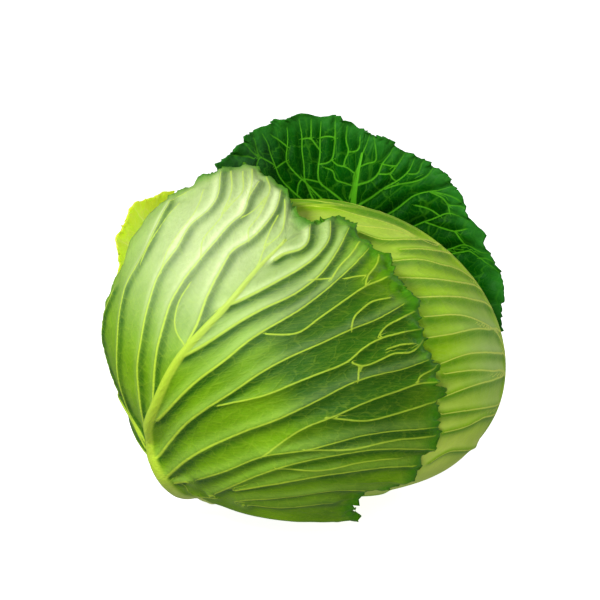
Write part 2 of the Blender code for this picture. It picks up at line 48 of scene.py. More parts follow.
# The head's size and lean, metres and degrees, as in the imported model
HEAD_CENTRE = np.array([0.00056, -0.00087, 0.0747])
HEAD_HALVES = np.array([0.088, 0.085, 0.067])
HEAD_LEAN = math.radians(13.0)
HEAD_AXES = np.array([
    [math.cos(HEAD_LEAN), 0, -math.sin(HEAD_LEAN)],
    [0, 1, 0],
    [math.sin(HEAD_LEAN), 0, math.cos(HEAD_LEAN)],
])
HEAD_LEAF_LEVELS = (2.1, 5.1, 8.3)
BLADE = 1.0
PRESSED_SHARE = 0.75
FLAT_DEPTH = 0.0060
FLAT_SPREAD = 18.0

# The photograph's viewing place: how high it looks from, how far away, and what it looks at
VIEW_RISE = math.radians(14.0)
VIEW_DISTANCE = 1.2
TOWARDS_VIEW = np.array([0.0, -math.cos(VIEW_RISE), math.sin(VIEW_RISE)])
VIEW_RIGHT = np.array([1.0, 0.0, 0.0])
VIEW_UP = np.array([0.0, math.sin(VIEW_RISE), math.cos(VIEW_RISE)])
VIEW_MIDDLE = VIEW_RIGHT * -0.00575 + VIEW_UP * 0.026
VIEW_PLACE = VIEW_MIDDLE + TOWARDS_VIEW * VIEW_DISTANCE
PIXEL = 0.0005


def unit(v):
    """A direction of length one."""
    v = np.asarray(v, float)
    return v / np.linalg.norm(v)


STALK = unit((-0.50, 0.10, -0.86))
FLATTER = unit((0.25, -0.45, -0.86))


def head_point(direction, height):
    """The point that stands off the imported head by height, in a direction from its centre."""
    local = direction @ HEAD_AXES.T
    away = np.degrees(np.arccos(np.clip(direction @ FLATTER, -1, 1)))
    height = height - FLAT_DEPTH * np.exp(-0.5 * (away / FLAT_SPREAD) ** 2)
    point = local * HEAD_HALVES
    normal = local / HEAD_HALVES
    normal = normal / np.linalg.norm(normal, axis=-1, keepdims=True)
    return (point + normal * np.asarray(height)[..., None]) @ HEAD_AXES


def on_picture(points):
    """Where points, measured from the head's centre, show in the 600 x 600 photograph."""
    v = points - VIEW_PLACE
    depth = -(v @ TOWARDS_VIEW)
    k = VIEW_DISTANCE / PIXEL
    return np.stack([300 + (v @ VIEW_RIGHT) / depth * k, 300 - (v @ VIEW_UP) / depth * k], -1)


def leaf_frame(centre):
    """Right, up and outward directions of a leaf laid out round one direction of the head."""
    out = unit(centre)
    right = unit(np.cross((0, 0, 1), out))
    return right, np.cross(out, right), out


def direction_of(axes, x, y):
    """The direction that lies x degrees right and y degrees up of a leaf's centre."""
    right, up, out = axes
    x = np.radians(x)
    y = np.radians(y)
    r = np.hypot(x, y)
    k = np.where(r > 1e-9, np.sin(r) / np.maximum(r, 1e-9), 1.0)
    return np.cos(r)[..., None] * out + (k * x)[..., None] * right + (k * y)[..., None] * up


def degrees_of(axes, direction):
    """The x and y degrees of a direction from a leaf's centre."""
    right, up, out = axes
    r = math.degrees(math.acos(max(-1.0, min(1.0, float(direction @ out)))))
    side = np.array([direction @ right, direction @ up])
    return side / np.linalg.norm(side) * r


def by_the_stalk(axes, turn, away):
    """The point so many degrees away from the stalk, turned from the way to the leaf's centre."""
    towards = unit(axes[2] - (axes[2] @ STALK) * STALK)
    across = np.cross(STALK, towards)
    if across @ axes[0] < 0:
        across = -across
    turn = math.radians(turn)
    away = math.radians(away)
    side = math.cos(turn) * towards + math.sin(turn) * across
    return degrees_of(axes, math.cos(away) * STALK + math.sin(away) * side)


def along(keys, s):
    """Values of a table (s, values) at s: a smooth curve through its rows."""
    keys = np.asarray(keys, float)
    at = keys[:, 0]
    value = keys[:, 1:]
    step = np.diff(at)[:, None]
    rise = np.diff(value, axis=0) / step
    slope = np.zeros_like(value)
    slope[0] = rise[0]
    slope[-1] = rise[-1]
    slope[1:-1] = (rise[:-1] * step[1:] + rise[1:] * step[:-1]) / (step[1:] + step[:-1])
    small = np.minimum(np.abs(rise[:-1]), np.abs(rise[1:]))
    large = np.maximum(np.abs(rise[:-1]), np.abs(rise[1:]))
    slope[1:-1] = np.clip(slope[1:-1], -2.5 * small - 0.35 * large, 2.5 * small + 0.35 * large)
    s = np.clip(np.asarray(s, float), at[0], at[-1])
    i = np.clip(np.searchsorted(at, s, side="right") - 1, 0, len(at) - 2)
    width = (at[i + 1] - at[i])[..., None]
    u = (s - at[i])[..., None] / width
    return (
        (2 * u ** 3 - 3 * u ** 2 + 1) * value[i]
        + (u ** 3 - 2 * u ** 2 + u) * width * slope[i]
        + (-2 * u ** 3 + 3 * u ** 2) * value[i + 1]
        + (u ** 3 - u ** 2) * width * slope[i + 1]
    )


def soft_noise(u, seed):
    """Smooth numbers between -1 and 1 along a line."""
    table = np.random.default_rng(seed).uniform(-1, 1, 512)
    i = np.floor(u).astype(int)
    f = u - i
    f = f * f * (3 - 2 * f)
    return table[i % 512] * (1 - f) + table[(i + 1) % 512] * f


def cloud_noise(points, size, seed):
    """Smooth numbers between -1 and 1 through space, in lumps of a size."""
    table = np.random.default_rng(seed).uniform(-1, 1, 4096)
    p = points / size + 57.0
    cell = np.floor(p).astype(int)
    f = p - cell
    f = f * f * (3 - 2 * f)
    total = 0.0
    for corner in range(8):
        step = np.array([corner & 1, (corner >> 1) & 1, corner >> 2])
        key = (cell + step) @ np.array([73, 1319, 9973])
        weight = np.prod(np.where(step == 1, f, 1 - f), axis=-1)
        total = total + table[key % 4096] * weight
    return total


def smoothly(low, high, value):
    """0 below low, 1 above high, and a smooth rise between."""
    u = np.clip((value - low) / (high - low), 0, 1)
    return u * u * (3 - 2 * u)


# Each leaf has rows of (s, degrees right, degrees up, mm off the head), and a margin's rows say last how
# much they bend towards the tip. A rib's rows are (s, half width, height).

# The large loose leaf over the front and the left
FRONT_LEAF = dict(
    axes=leaf_frame(TOWARDS_VIEW),
    midrib=[
        (-1, -55.5, -75.0, 17.8), (0, -54.0, -66.0, 20.2), (2, -53.6, -58.0, 21.2), (4, -54.4, -52.0, 20.8),
        (6, -56.8, -47.5, 18.8), (8, -59.2, -43.0, 16.0), (9, -59.6, -38.5, 13.8), (10, -57.0, -31.0, 13.7),
        (11, -48.4, -18.3, 14.0), (12, -37.5, -1.0, 14.0), (13, -22.9, 16.5, 14.0), (14, -14.0, 29.5, 15.0),
        (15, -8.4, 36.8, 16.0), (16, -6.8, 39.0, 16.4), (17, -6.0, 40.2, 16.6),
    ],
    right=[
        (-1, -42.0, -80.0, 14.0, 0.0), (0.5, -18.0, -68.5, 11.0, 0.02), (1.5, 12.2, -72.0, 21.4, 0.03),
        (2.3, 14.2, -66.0, 17.0, 0.03), (3.5, 15.5, -55.0, 13.6, 0.05), (4.8, 29.0, -48.0, 13.2, 0.06),
        (6, 33.5, -41.0, 13.2, 0.07), (8, 38.0, -31.0, 13.2, 0.08), (9.3, 38.5, -21.5, 13.3, 0.08),
        (10.2, 38.1, -11.5, 13.4, 0.07), (10.8, 37.9, -4.5, 13.5, 0.06), (11.4, 36.5, 2.0, 13.5, 0.05),
        (12, 34.9, 11.0, 13.8, 0.04), (12.6, 32.5, 19.0, 14.0, 0.03), (13.3, 26.5, 29.0, 15.0, 0.02),
        (14.2, 21.0, 41.0, 15.6, 0.0), (15, 16.2, 49.5, 16.4, 0.0), (15.7, 9.5, 52.5, 17.0, 0.0),
        (16.4, 1.5, 49.0, 17.6, 0.0), (17, -3.4, 54.5, 19.0, 0.0),
    ],
    left=[
        (-1, -64.0, -80.0, 15.0, 0.0), (0, -78.0, -72.0, 13.8, 0.02), (2, -92.0, -58.0, 13.3, 0.03),
        (5, -98.0, -40.0, 13.9, 0.04), (8, -98.0, -20.0, 14.9, 0.03), (10, -92.0, -3.0, 15.6, -0.02),
        (10.7, -83.0, 14.0, 17.5, -0.03), (11.6, -67.0, 36.0, 20.5, -0.04), (12.5, -56.0, 59.0, 25.0, -0.05),
        (13.3, -43.0, 71.0, 27.5, -0.04), (14.2, -29.0, 75.0, 30.0, -0.03), (14.8, -22.5, 78.0, 29.5, -0.02),
        (15.6, -12.0, 70.0, 24.0, 0.0), (16.2, -5.6, 62.5, 21.0, 0.0), (16.6, -4.2, 57.5, 19.6, 0.0),
        (17, -3.4, 54.5, 19.0, 0.0),
    ],
    flare=1.3, ruffle=1.3, teeth=2.1, seed=11, panel=1.3, step=0.75, crumple=0.85,
    crinkle=3.2, flat_left=(12.2, 13.2),
    rib=[
        (-2, 11.0, 5.0), (0, 8.5, 4.6), (6, 7.0, 3.8), (9, 5.0, 2.8), (11, 3.4, 2.0), (13, 2.2, 1.2),
        (15, 1.0, 0.3), (17, 1.0, 0.3),
    ],
    hidden_veins=dict(right=[], left=[0.5, 3.0, 5.8]),
    base=(16.5, 46), level=0.0, faces_view=1, rows=292, columns=84,
)

# The glossy tight leaf that makes the right of the head
RIGHT_LEAF = dict(
    axes=leaf_frame((1.0, 0.0, 0.0)),
    midrib=[
        (-1, 9.0, -92.0, 8.5), (0, 6.5, -78.0, 8.4), (1, 4.5, -62.0, 8.3), (2, 2.5, -46.0, 8.3),
        (3, 1.0, -31.0, 8.3), (4, 0.0, -17.0, 8.3), (5, 0.5, -4.0, 8.3), (6, 1.5, 8.0, 8.3),
        (7, 3.0, 19.0, 8.3),
        (8, 5.5, 30.0, 8.4), (9, 8.0, 41.0, 8.5), (10, 10.5, 53.0, 8.6), (11, 8.0, 66.0, 8.6),
        (12, -1.0, 79.0, 8.6), (13, -12.0, 91.0, 8.5),
    ],
    left=[
        (-1, -25.0, -101.0, 8.3, 0.0), (0, -50.0, -86.0, 8.3, 0.0), (1, -72.0, -66.0, 8.3, 0.0),
        (2, -80.0, -48.0, 8.3, 0.02), (3, -85.0, -32.0, 8.3, 0.02), (4, -88.0, -18.0, 8.3, 0.02),
        (5, -89.0, -5.0, 8.3, 0.02), (6, -88.0, 8.0, 8.3, 0.02), (7, -86.0, 20.0, 8.3, 0.02),
        (8, -83.0, 33.0, 8.3, 0.02), (9, -78.0, 46.0, 8.3, 0.02), (10, -69.0, 60.0, 8.3, 0.02),
        (11, -55.0, 77.0, 8.3, 0.02), (12, -38.0, 92.0, 8.3, 0.02), (13, -22.0, 101.0, 8.3, 0.0),
    ],
    right=[
        (-1, 28.0, -98.0, 8.3, 0.0), (0, 42.0, -86.0, 8.3, 0.02), (1, 52.0, -70.0, 8.3, 0.03),
        (2, 58.0, -54.0, 8.3, 0.04), (3, 62.0, -38.0, 8.3, 0.04), (4, 65.0, -22.0, 8.3, 0.04),
        (5, 67.0, -7.0, 8.3, 0.04), (6, 67.0, 8.0, 8.3, 0.04), (7, 65.0, 23.0, 8.3, 0.04),
        (8, 60.0, 38.0, 8.3, 0.04), (9, 52.0, 52.0, 8.3, 0.04), (10, 42.0, 66.0, 8.3, 0.04),
        (11, 28.0, 80.0, 8.3, 0.04), (12, 6.0, 94.0, 8.3, 0.02), (13, -22.0, 101.0, 8.3, 0.0),
    ],
    flare=1.0, ruffle=0.0, teeth=1.0, seed=23, panel=0.9, step=0.6, crumple=0.25,
    shade_side=-1, calm=90, rooted_from=0, least_facing=0.3,
    rib=[(-2, 10.0, 2.2), (0, 8.0, 2.0), (6, 6.5, 1.5), (10, 5.5, 1.3), (13, 2.0, 0.5)],
    hidden_veins=dict(right=[0, 1, 2, 3, 4, 5, 6, 7, 8, 9, 10, 11, 12], left=[0, 0.7]),
    base=(8.5, 62), level=0.0, faces_view=1, rows=292, columns=84,
)

# The dark leaf that stands up behind the head
BACK_LEAF = dict(
    axes=leaf_frame((0.1, 0.97, 0.2)),
    midrib=[
        (-1, 30.0, -68.0, 15.5), (0, 20.0, -56.0, 14.8), (1, 11.0, -42.0, 14.5), (2, 4.0, -28.0, 14.5),
        (3, -1.0, -14.0, 14.5), (4, -5.0, -1.0, 15.0), (5, -7.4, 10.0, 17.5), (6, -8.0, 18.5, 22.0),
        (7, -8.0, 25.0, 29.0), (8, -8.2, 28.8, 39.0), (9, -8.6, 31.5, 51.0),
    ],
    right=[
        (-1, 12.0, -76.0, 14.6, 0.0), (0, -10.0, -68.0, 14.5, 0.02), (1, -32.0, -56.0, 15.0, 0.03),
        (2, -46.0, -38.0, 17.5, 0.04), (3, -52.5, -20.0, 25.0, 0.04), (4, -52.4, -4.5, 34.5, 0.03),
        (4.5, -49.0, 2.5, 40.5, 0.02), (5, -42.5, 11.5, 43.0, 0.0), (6, -34.0, 21.5, 51.0, 0.0),
        (7, -24.0, 27.0, 57.0, 0.0), (8, -15.0, 31.5, 61.0, 0.0), (9, -8.7, 33.6, 63.5, 0.0),
    ],
    left=[
        (-1, 42.0, -68.0, 15.6, 0.0), (0, 49.0, -54.0, 15.4, 0.0), (1, 52.0, -38.0, 15.6, 0.0),
        (2, 52.0, -20.0, 16.5, 0.0), (3, 49.0, 0.0, 19.0, 0.0), (4, 42.0, 20.0, 24.5, 0.0),
        (5, 32.5, 35.0, 33.0, 0.0), (6, 25.5, 37.0, 45.0, 0.0), (7, 15.0, 36.0, 59.5, 0.0),
        (8, 4.0, 36.2, 67.0, 0.0), (9, -8.7, 33.6, 63.5, 0.0),
    ],
    flare=1.35, ruffle=1.6, teeth=1.4, seed=37, panel=1.9, step=0.0, crumple=1.2,
    rooted_from=1, least_facing=0.1,
    rib=[(-2, 11.0, 5.0), (0, 9.0, 4.6), (3, 6.0, 3.4), (6, 2.6, 1.3), (9, 0.9, 0.3)],
    hidden_veins=dict(right=[-0.5, 0.3, 1.1, 1.9, 2.7], left=[-0.4, 0.4, 1.2, 2, 2.8, 3.6]),
    base=(16.0, 42), level=0.0, faces_view=-1, rows=292, columns=84,
)

# The bright yellow-green leaf behind the left
LEFT_LEAF = dict(
    axes=leaf_frame((-0.75, 0.6, 0.2)),
    midrib=[
        (-1, 15.0, -54.0, 10.4), (0, 12.5, -44.0, 10.4), (1, 10.0, -33.0, 10.5), (2, 8.0, -22.0, 10.5),
        (3, 6.0, -11.0, 10.8), (4, 5.0, 0.0, 12.0), (5, 4.5, 9.5, 16.0), (6, 4.5, 17.5, 21.5),
        (7, 4.5, 23.5, 27.5),
    ],
    right=[
        (-1, 30.0, -58.0, 10.3, 0.0), (0, 40.0, -44.0, 10.3, 0.02), (1, 45.0, -29.0, 10.3, 0.03),
        (2, 45.0, -14.0, 10.3, 0.03), (3, 37.0, -1.0, 10.3, 0.03), (4, 27.5, 9.5, 17.0, 0.02),
        (5, 20.5, 18.0, 29.0, 0.0), (6, 13.0, 24.5, 35.0, 0.0), (7, 4.5, 27.8, 34.0, 0.0),
    ],
    left=[
        (-1, -2.0, -64.0, 10.5, 0.0), (0, -26.0, -56.0, 10.3, 0.02), (1, -42.0, -40.0, 10.3, 0.03),
        (2, -50.0, -22.0, 10.3, 0.03), (3, -46.0, -4.0, 10.4, 0.03), (4, -35.0, 8.0, 12.5, 0.02),
        (5, -22.0, 17.5, 18.0, 0.0), (6, -8.0, 26.5, 29.0, 0.0), (7, 4.5, 27.8, 34.0, 0.0),
    ],
    flare=1.5, ruffle=1.0, teeth=1.4, seed=53, panel=1.1, step=0.3, crumple=0.8,
    rib=[(-2, 9.0, 1.4), (0, 7.0, 1.6), (3, 4.5, 1.8), (5, 3.0, 1.6), (7, 1.4, 0.5)],
    hidden_veins=dict(right=[0, 1, 2, 3, 4, 5, 6], left=[-0.5, 0.5, 1.5, 2.5, 3.5, 4.5, 5.5]),
    base=(10.2, 42), level=0.0, faces_view=1, rows=230, columns=70,
)


def press_level(height):
    """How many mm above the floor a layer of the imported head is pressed."""
    return max(0.0, (HEAD_LEAF_LEVELS[2] + BLADE / 2 - height) * PRESSED_SHARE)


def packed_leaf(centre, level, seed, spread, reach):
    """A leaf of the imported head: it wraps from the stalk over the head."""
    axes = leaf_frame(centre)
    base = by_the_stalk(axes, 0.0, 0.0)
    top = np.array([base[0] * -0.25, reach])
    rows = (-1.0, 1.0, 3.0, 5.0, 7.0, 8.0)
    midrib = []
    left = []
    right = []
    for s, share in zip(rows, (0.12, 0.30, 0.52, 0.72, 0.88, 0.94)):
        x, y = base * (1 - share) + top * share
        midrib.append((s, x, y, level))
    for s, wide, lift in zip(rows, (0.30, 0.80, 1.0, 0.92, 0.55, 0.0), (0.10, 0.30, 0.56, 0.84, 1.04, 1.06)):
        x, y = base * (1 - lift) + top * lift
        left.append((s, x - spread * wide, y, level, 0.04))
        right.append((s, x + spread * wide, y, level, 0.04))
    every = [0, 1, 2, 3, 4, 5, 6, 7]
    return dict(
        axes=axes, midrib=midrib, left=left, right=right, flare=1.5, ruffle=0.0, teeth=1.2, seed=seed,
        panel=0.7, step=0.2, crumple=0.2, rib=[(-2, 9.0, 1.3), (1, 6.0, 1.0), (4, 3.5, 0.7), (8, 1.5, 0.2)],
        hidden_veins=dict(right=every, left=every), base=(level, 62),
        level=press_level(level + BLADE / 2), faces_view=1, rows=200, columns=60,
    )


# Side ribs as the photograph shows them, each a run of its pixel places from the midrib to the edge
FRONT_RIBS = [
    [(240, 503), (280, 507), (333, 503)],
    [(235, 500), (300, 495), (336, 490), (380, 490), (406, 486)],
    [(235, 490), (300, 479), (350, 471), (415, 465)],
    [(210, 495), (277, 468), (329, 456), (378, 449), (434, 449)],
    [(176, 482), (192, 480), (224, 471), (263, 456), (305, 450), (364, 435), (438, 427)],
    [(168, 476), (184, 462), (237, 434), (280, 418), (318, 400), (357, 381), (385, 373),
     (400, 370), (428, 360)],
    [(158, 458), (184, 426), (237, 389), (262, 372), (290, 357), (320, 344), (350, 330),
     (380, 318), (404, 304)],
    [(158, 420), (197, 381), (224, 361), (253, 338), (275, 325), (300, 310), (330, 287),
     (352, 267), (368, 250)],
    [(184, 357), (217, 337), (240, 322), (260, 311), (300, 291), (320, 275), (338, 250),
     (349, 228)],
    [(220, 310), (240, 301), (260, 291), (280, 280), (300, 269), (318, 255), (330, 236),
     (330, 222)],
    [(275, 260), (284, 254), (300, 250), (307, 244), (310, 225)],
    [(147, 447), (136, 425), (118, 395), (106, 360), (103, 335), (106, 310), (114, 290)],
    [(146, 440), (126, 403), (118, 367), (118, 345), (121, 310), (127, 285), (147, 248),
     (158, 225), (170, 202)],
    [(147, 430), (140, 396), (138, 367), (142, 340), (149, 305), (161, 272), (178, 248),
     (190, 226), (208, 211),
     (217, 198), (221, 172)],
    [(155, 404), (154, 387), (157, 357), (164, 325), (170, 306), (183, 282), (199, 261),
     (215, 242), (232, 223),
     (243, 214), (249, 198), (259, 182)],
    [(189, 342), (197, 325), (208, 295), (224, 265), (232, 252), (250, 240), (268, 222),
     (277, 207), (281, 190)],
]
FRONT_FORKS = [
    [(217, 406), (271, 393), (290, 385), (320, 373), (347, 362), (365, 347), (382, 338),
     (402, 333), (422, 328)],
    [(263, 456), (300, 430), (336, 415), (376, 398), (400, 390), (417, 384), (438, 382)],
    [(266, 334), (280, 335), (296, 334), (320, 318), (350, 297), (365, 287), (386, 278)],
    [(253, 274), (260, 262), (264, 250), (272, 243), (280, 236), (285, 212), (285, 200)],
    [(326, 417), (370, 420), (398, 413), (438, 400)],
    [(305, 450), (350, 449), (395, 440), (436, 436)],
    [(331, 280), (340, 266), (350, 256), (359, 243)],
    [(310, 281), (322, 279), (331, 279)],
    [(365, 287), (367, 277), (376, 266), (378, 258)],
    [(345, 279), (356, 277), (366, 276)],
    [(351, 329), (354, 317), (360, 311), (370, 303), (390, 298)],
    [(379, 335), (384, 328), (400, 319), (414, 312)],
    [(352, 363), (360, 366), (380, 360), (392, 354), (412, 352), (424, 340)],
    [(388, 349), (400, 345), (414, 344)],
    [(359, 366), (358, 380)],
    [(417, 384), (417, 380), (428, 372), (438, 367)],
    [(277, 468), (320, 470), (360, 462), (400, 458)],
    [(178, 482), (186, 486), (190, 492), (200, 496), (216, 498)],
    [(201, 258), (203, 240), (216, 225), (232, 204), (243, 192), (243, 172)],
    [(249, 240), (248, 232), (258, 218), (266, 202), (270, 188), (266, 178)],
    [(243, 217), (255, 210), (266, 198)],
    [(222, 215), (232, 190), (231, 172)],
    [(249, 198), (252, 184), (252, 170)],
    [(264, 248), (270, 232), (278, 216)],
    [(141, 262), (152, 240), (164, 222), (180, 204)],
    [(162, 272), (168, 252), (180, 232), (196, 212), (204, 190)],
    [(185, 345), (176, 330), (180, 300), (190, 284)],
    [(170, 202), (182, 196), (192, 190)],
]
RIGHT_FORKS = [
    [(300, 207), (330, 209), (360, 217), (380, 222), (400, 229), (420, 240), (440, 248),
     (460, 259), (480, 273),
     (488, 284), (494, 296)],
    [(330, 204), (362, 209), (385, 214), (405, 221), (420, 229)],
    [(335, 226), (360, 227), (380, 229), (398, 232), (412, 238)],
]
RIGHT_RIBS = [
    [(455, 250), (430, 240), (410, 240), (380, 240), (360, 233)],
    [(474, 268), (450, 258), (425, 250), (400, 250)],
    [(494, 292), (478, 281), (460, 273), (418, 260), (390, 262)],
    [(503, 306), (469, 286), (438, 280), (399, 278)],
    [(506, 318), (487, 307), (463, 298), (404, 298)],
    [(506, 334), (494, 329), (463, 316), (424, 317)],
    [(507, 342), (487, 330), (447, 335), (427, 338)],
    [(507, 353), (467, 354), (440, 364)],
    [(507, 373), (474, 370), (443, 374)],
    [(505, 378), (484, 382), (442, 397)],
    [(500, 405), (467, 410), (440, 414)],
    [(494, 410), (463, 427), (443, 432)],
    [(484, 430), (466, 449), (447, 451), (430, 462)],
    [(470, 452), (446, 468), (424, 476)],
]
BACK_RIBS = [
    [(350, 197), (353, 187), (354, 175), (360, 164), (362, 155), (366, 146), (370, 135)],
    [(337, 196), (328, 189), (319, 182), (318, 172), (320, 155), (320, 138), (321, 122)],
    [(304, 179), (304, 168), (302, 150), (302, 138), (299, 120)],
    [(298, 196), (288, 187), (280, 178), (275, 166), (270, 153), (267, 143), (262, 134)],
    [(301, 179), (294, 172), (286, 161), (287, 148), (288, 138), (287, 128)],
    [(353, 187), (360, 184), (370, 181), (378, 174), (382, 164), (390, 154), (395, 143)],
    [(360, 204), (370, 198), (384, 188), (400, 179), (409, 171), (413, 162), (417, 154)],
    [(390, 213), (400, 206), (415, 195), (425, 192), (440, 190), (454, 186)],
    [(405, 230), (423, 222), (435, 218), (448, 213), (467, 219)],
    [(440, 252), (455, 247), (465, 244), (473, 248), (485, 253), (493, 253)],
    [(470, 250), (480, 258), (490, 265), (500, 274)],
]
BACK_FORKS = [
    [(319, 182), (310, 180), (301, 179), (298, 184), (297, 194)],
    [(286, 161), (281, 164), (276, 168)],
    [(274, 165), (266, 160), (259, 157), (256, 148), (253, 138)],
    [(259, 158), (250, 151), (243, 142)],
    [(259, 158), (256, 164), (257, 172)],
    [(287, 147), (280, 141), (272, 136)],
    [(302, 139), (311, 138), (315, 144), (320, 150)],
    [(311, 138), (311, 120)],
    [(320, 164), (328, 163), (332, 160), (334, 150), (335, 138), (335, 123)],
    [(332, 160), (338, 166), (344, 166), (354, 173)],
    [(344, 166), (345, 159), (349, 152), (346, 142), (347, 128)],
    [(349, 152), (358, 151), (360, 138)],
    [(353, 186), (342, 182), (335, 180), (334, 171), (326, 168)],
    [(360, 167), (368, 163), (376, 162), (376, 152), (374, 138)],
    [(379, 174), (390, 174), (395, 168), (404, 155), (410, 146)],
    [(390, 174), (391, 178), (396, 181)],
    [(384, 189), (400, 184), (413, 182), (420, 180), (430, 173), (434, 166)],
    [(409, 174), (418, 174), (421, 165), (426, 158)],
    [(430, 192), (445, 200), (448, 205), (460, 206), (472, 213)],
    [(448, 205), (450, 213)],
    [(415, 205), (430, 209), (440, 216)],
    [(426, 222), (440, 227), (455, 231), (466, 229)],
    [(435, 192), (450, 196), (460, 200)],
    [(382, 164), (390, 166), (396, 166)],
    [(320, 138), (328, 136), (335, 138)],
    [(232, 156), (244, 156), (252, 158)],
    [(480, 258), (486, 258), (496, 263)],
    [(455, 231), (462, 240), (465, 244)],
]


# Fine teeth of a margin: how often, how deep, and the seed's step
FINE_TEETH = ((9, 0.5, 60), (23, 0.38, 61), (52, 0.22, 62))
# Degrees from the stalk at which a leaf's middle and its two edges start
BASE_AWAY = 15.2
CLASP_AWAY = 16.2
# Columns of the grid over half a midrib
RIB_COLUMNS = 9
# Side ribs and forks in mm: half widths from root to end, heights, how wide the panels slope beside them
# (also how wide the painted shade on their low side runs), and how wide the painted light on their high side
# runs
RIB_HALF_WIDTHS = (1.2, 0.42)
FORK_HALF_WIDTHS = (0.75, 0.4)
RIB_HEIGHT = 0.75
FORK_HEIGHT = 0.42
PANEL_SLOPE = 3.4
LIT_SIDE_SLOPE = 3.0
NO_FORK_NEAR = 30.0
# Millimetres of leaf to one unit of its flat map
MAP_SPAN = 100


def on_head(leaf, xy, height):
    """The points that a leaf's degrees and mm off the head stand for."""
    return head_point(direction_of(leaf["axes"], xy[..., 0], xy[..., 1]), height * MM)


def run_along(points):
    """How far along a line each of its points lies."""
    return np.concatenate([[0], np.cumsum(np.linalg.norm(np.diff(points, axis=0), axis=1))])


def tree_of(points):
    """The points in a tree that finds the nearest ones."""
    tree = kdtree.KDTree(len(points))
    for i, point in enumerate(points):
        tree.insert(point, i)
    tree.balance()
    return tree


def with_base(leaf):
    """The leaf with the rows that join it to the stalk."""
    height, clasp = leaf["base"]
    x, y = by_the_stalk(leaf["axes"], 0.0, BASE_AWAY)
    leaf["midrib"] = [(-2, x, y, height)] + leaf["midrib"]
    for side, sign in (("left", -1), ("right", 1)):
        x, y = by_the_stalk(leaf["axes"], sign * clasp, CLASP_AWAY)
        leaf[side] = [(-2, x, y, height, 0.09)] + leaf[side]
    return leaf


def half_rows(leaf, side, s, t):
    """Degrees and mm off the head of a grid: one row for each s, columns t from the midrib to the margin."""
    middle = along(leaf["midrib"], s)
    edge = along(leaf[side], s)
    sign = 1.0 if side == "right" else -1.0
    chord = edge[:, :2] - middle[:, :2]
    length = np.maximum(np.linalg.norm(chord, axis=1, keepdims=True), 1e-6)
    tipwards = np.stack([-chord[:, 1], chord[:, 0]], axis=1) * sign / length
    seed = leaf["seed"] + (side == "left")
    fade = np.clip((s + 0.5) / 2, 0, 1)
    teeth = leaf["teeth"] * fade * soft_noise(s * 2.7 + 40, seed)
    fine_teeth = 0.0
    for often, size, extra in FINE_TEETH:
        fine_teeth = fine_teeth + soft_noise(s * often, seed + extra) * size
    fine_teeth = leaf["teeth"] * fade * fine_teeth
    edge_xy = edge[:, :2]
    bend = (middle[:, :2] + edge_xy) / 2 + tipwards * length * 2 * edge[:, 3:4]
    xy = (
        (1 - t)[..., None] ** 2 * middle[:, None, :2]
        + (2 * t * (1 - t))[..., None] * bend[:, None]
        + t[..., None] ** 2 * edge_xy[:, None]
        + (chord / length)[:, None] * (teeth[:, None] * t ** 4 + fine_teeth[:, None] * t ** 14)[..., None]
    )
    height = middle[:, 2:3] + (edge[:, 2:3] - middle[:, 2:3]) * t ** leaf["flare"]
    ruffle = leaf["ruffle"] * (soft_noise(s * 2.1 + 9, seed + 5) + 0.5 * soft_noise(s * 6.3 + 3, seed + 7))
    height = height + (ruffle * fade)[:, None] * t ** 5
    return xy, height


def row_places(leaf, count):
    """Values of s that space the rows evenly along the leaf's midrib and margins."""
    s = np.linspace(-2, leaf["midrib"][-1][0], 900)
    run = 0.0
    for part in ("left", "right", "midrib"):
        line = along(leaf[part], s)
        points = on_head(leaf, line, line[:, 2])
        run = run + np.linalg.norm(np.diff(points, axis=0), axis=1)
    total = np.concatenate([[0], np.cumsum(run)])
    return np.interp(np.linspace(0, total[-1], count), total, s)


def half_grid(leaf, side, s, columns):
    """Smooth points of half a leaf, with their mm from the midrib and mm from the margin."""
    probe = np.tile(np.linspace(0, 1, 13), (len(s), 1))
    xy, height = half_rows(leaf, side, s, probe)
    points = on_head(leaf, xy, height)
    length = np.linalg.norm(np.diff(points, axis=1), axis=2).sum(axis=1) / MM
    rib = along(leaf["rib"], s)
    half_width = np.minimum(rib[:, 0], 0.62 * length)
    share = half_width / length
    near = np.linspace(0, 1, RIB_COLUMNS)
    far = np.linspace(0, 1, columns - RIB_COLUMNS + 2)[1:]
    share = share[:, None]
    t = np.concatenate([share * near[None], share + (1 - share) * far[None]], axis=1)
    xy, height = half_rows(leaf, side, s, t)
    points = on_head(leaf, xy, height)
    return dict(points=points, across=t * length[:, None], inset=(1 - t) * length[:, None])


def joined(halves, order, key, mirror=1.0):
    """The two halves side by side as one grid; both share the tip's row."""
    first = halves[order[0]][key].copy()
    second = halves[order[1]][key]
    first[-1] = second[-1]
    return np.concatenate([first[:, :0:-1] * mirror, second], axis=1)


def grid_normals(points):
    """Outward directions of a grid of points."""
    down = np.gradient(points, axis=0)
    over = np.gradient(points, axis=1)
    normal = np.cross(over, down)
    return normal / np.maximum(np.linalg.norm(normal, axis=2, keepdims=True), 1e-12)


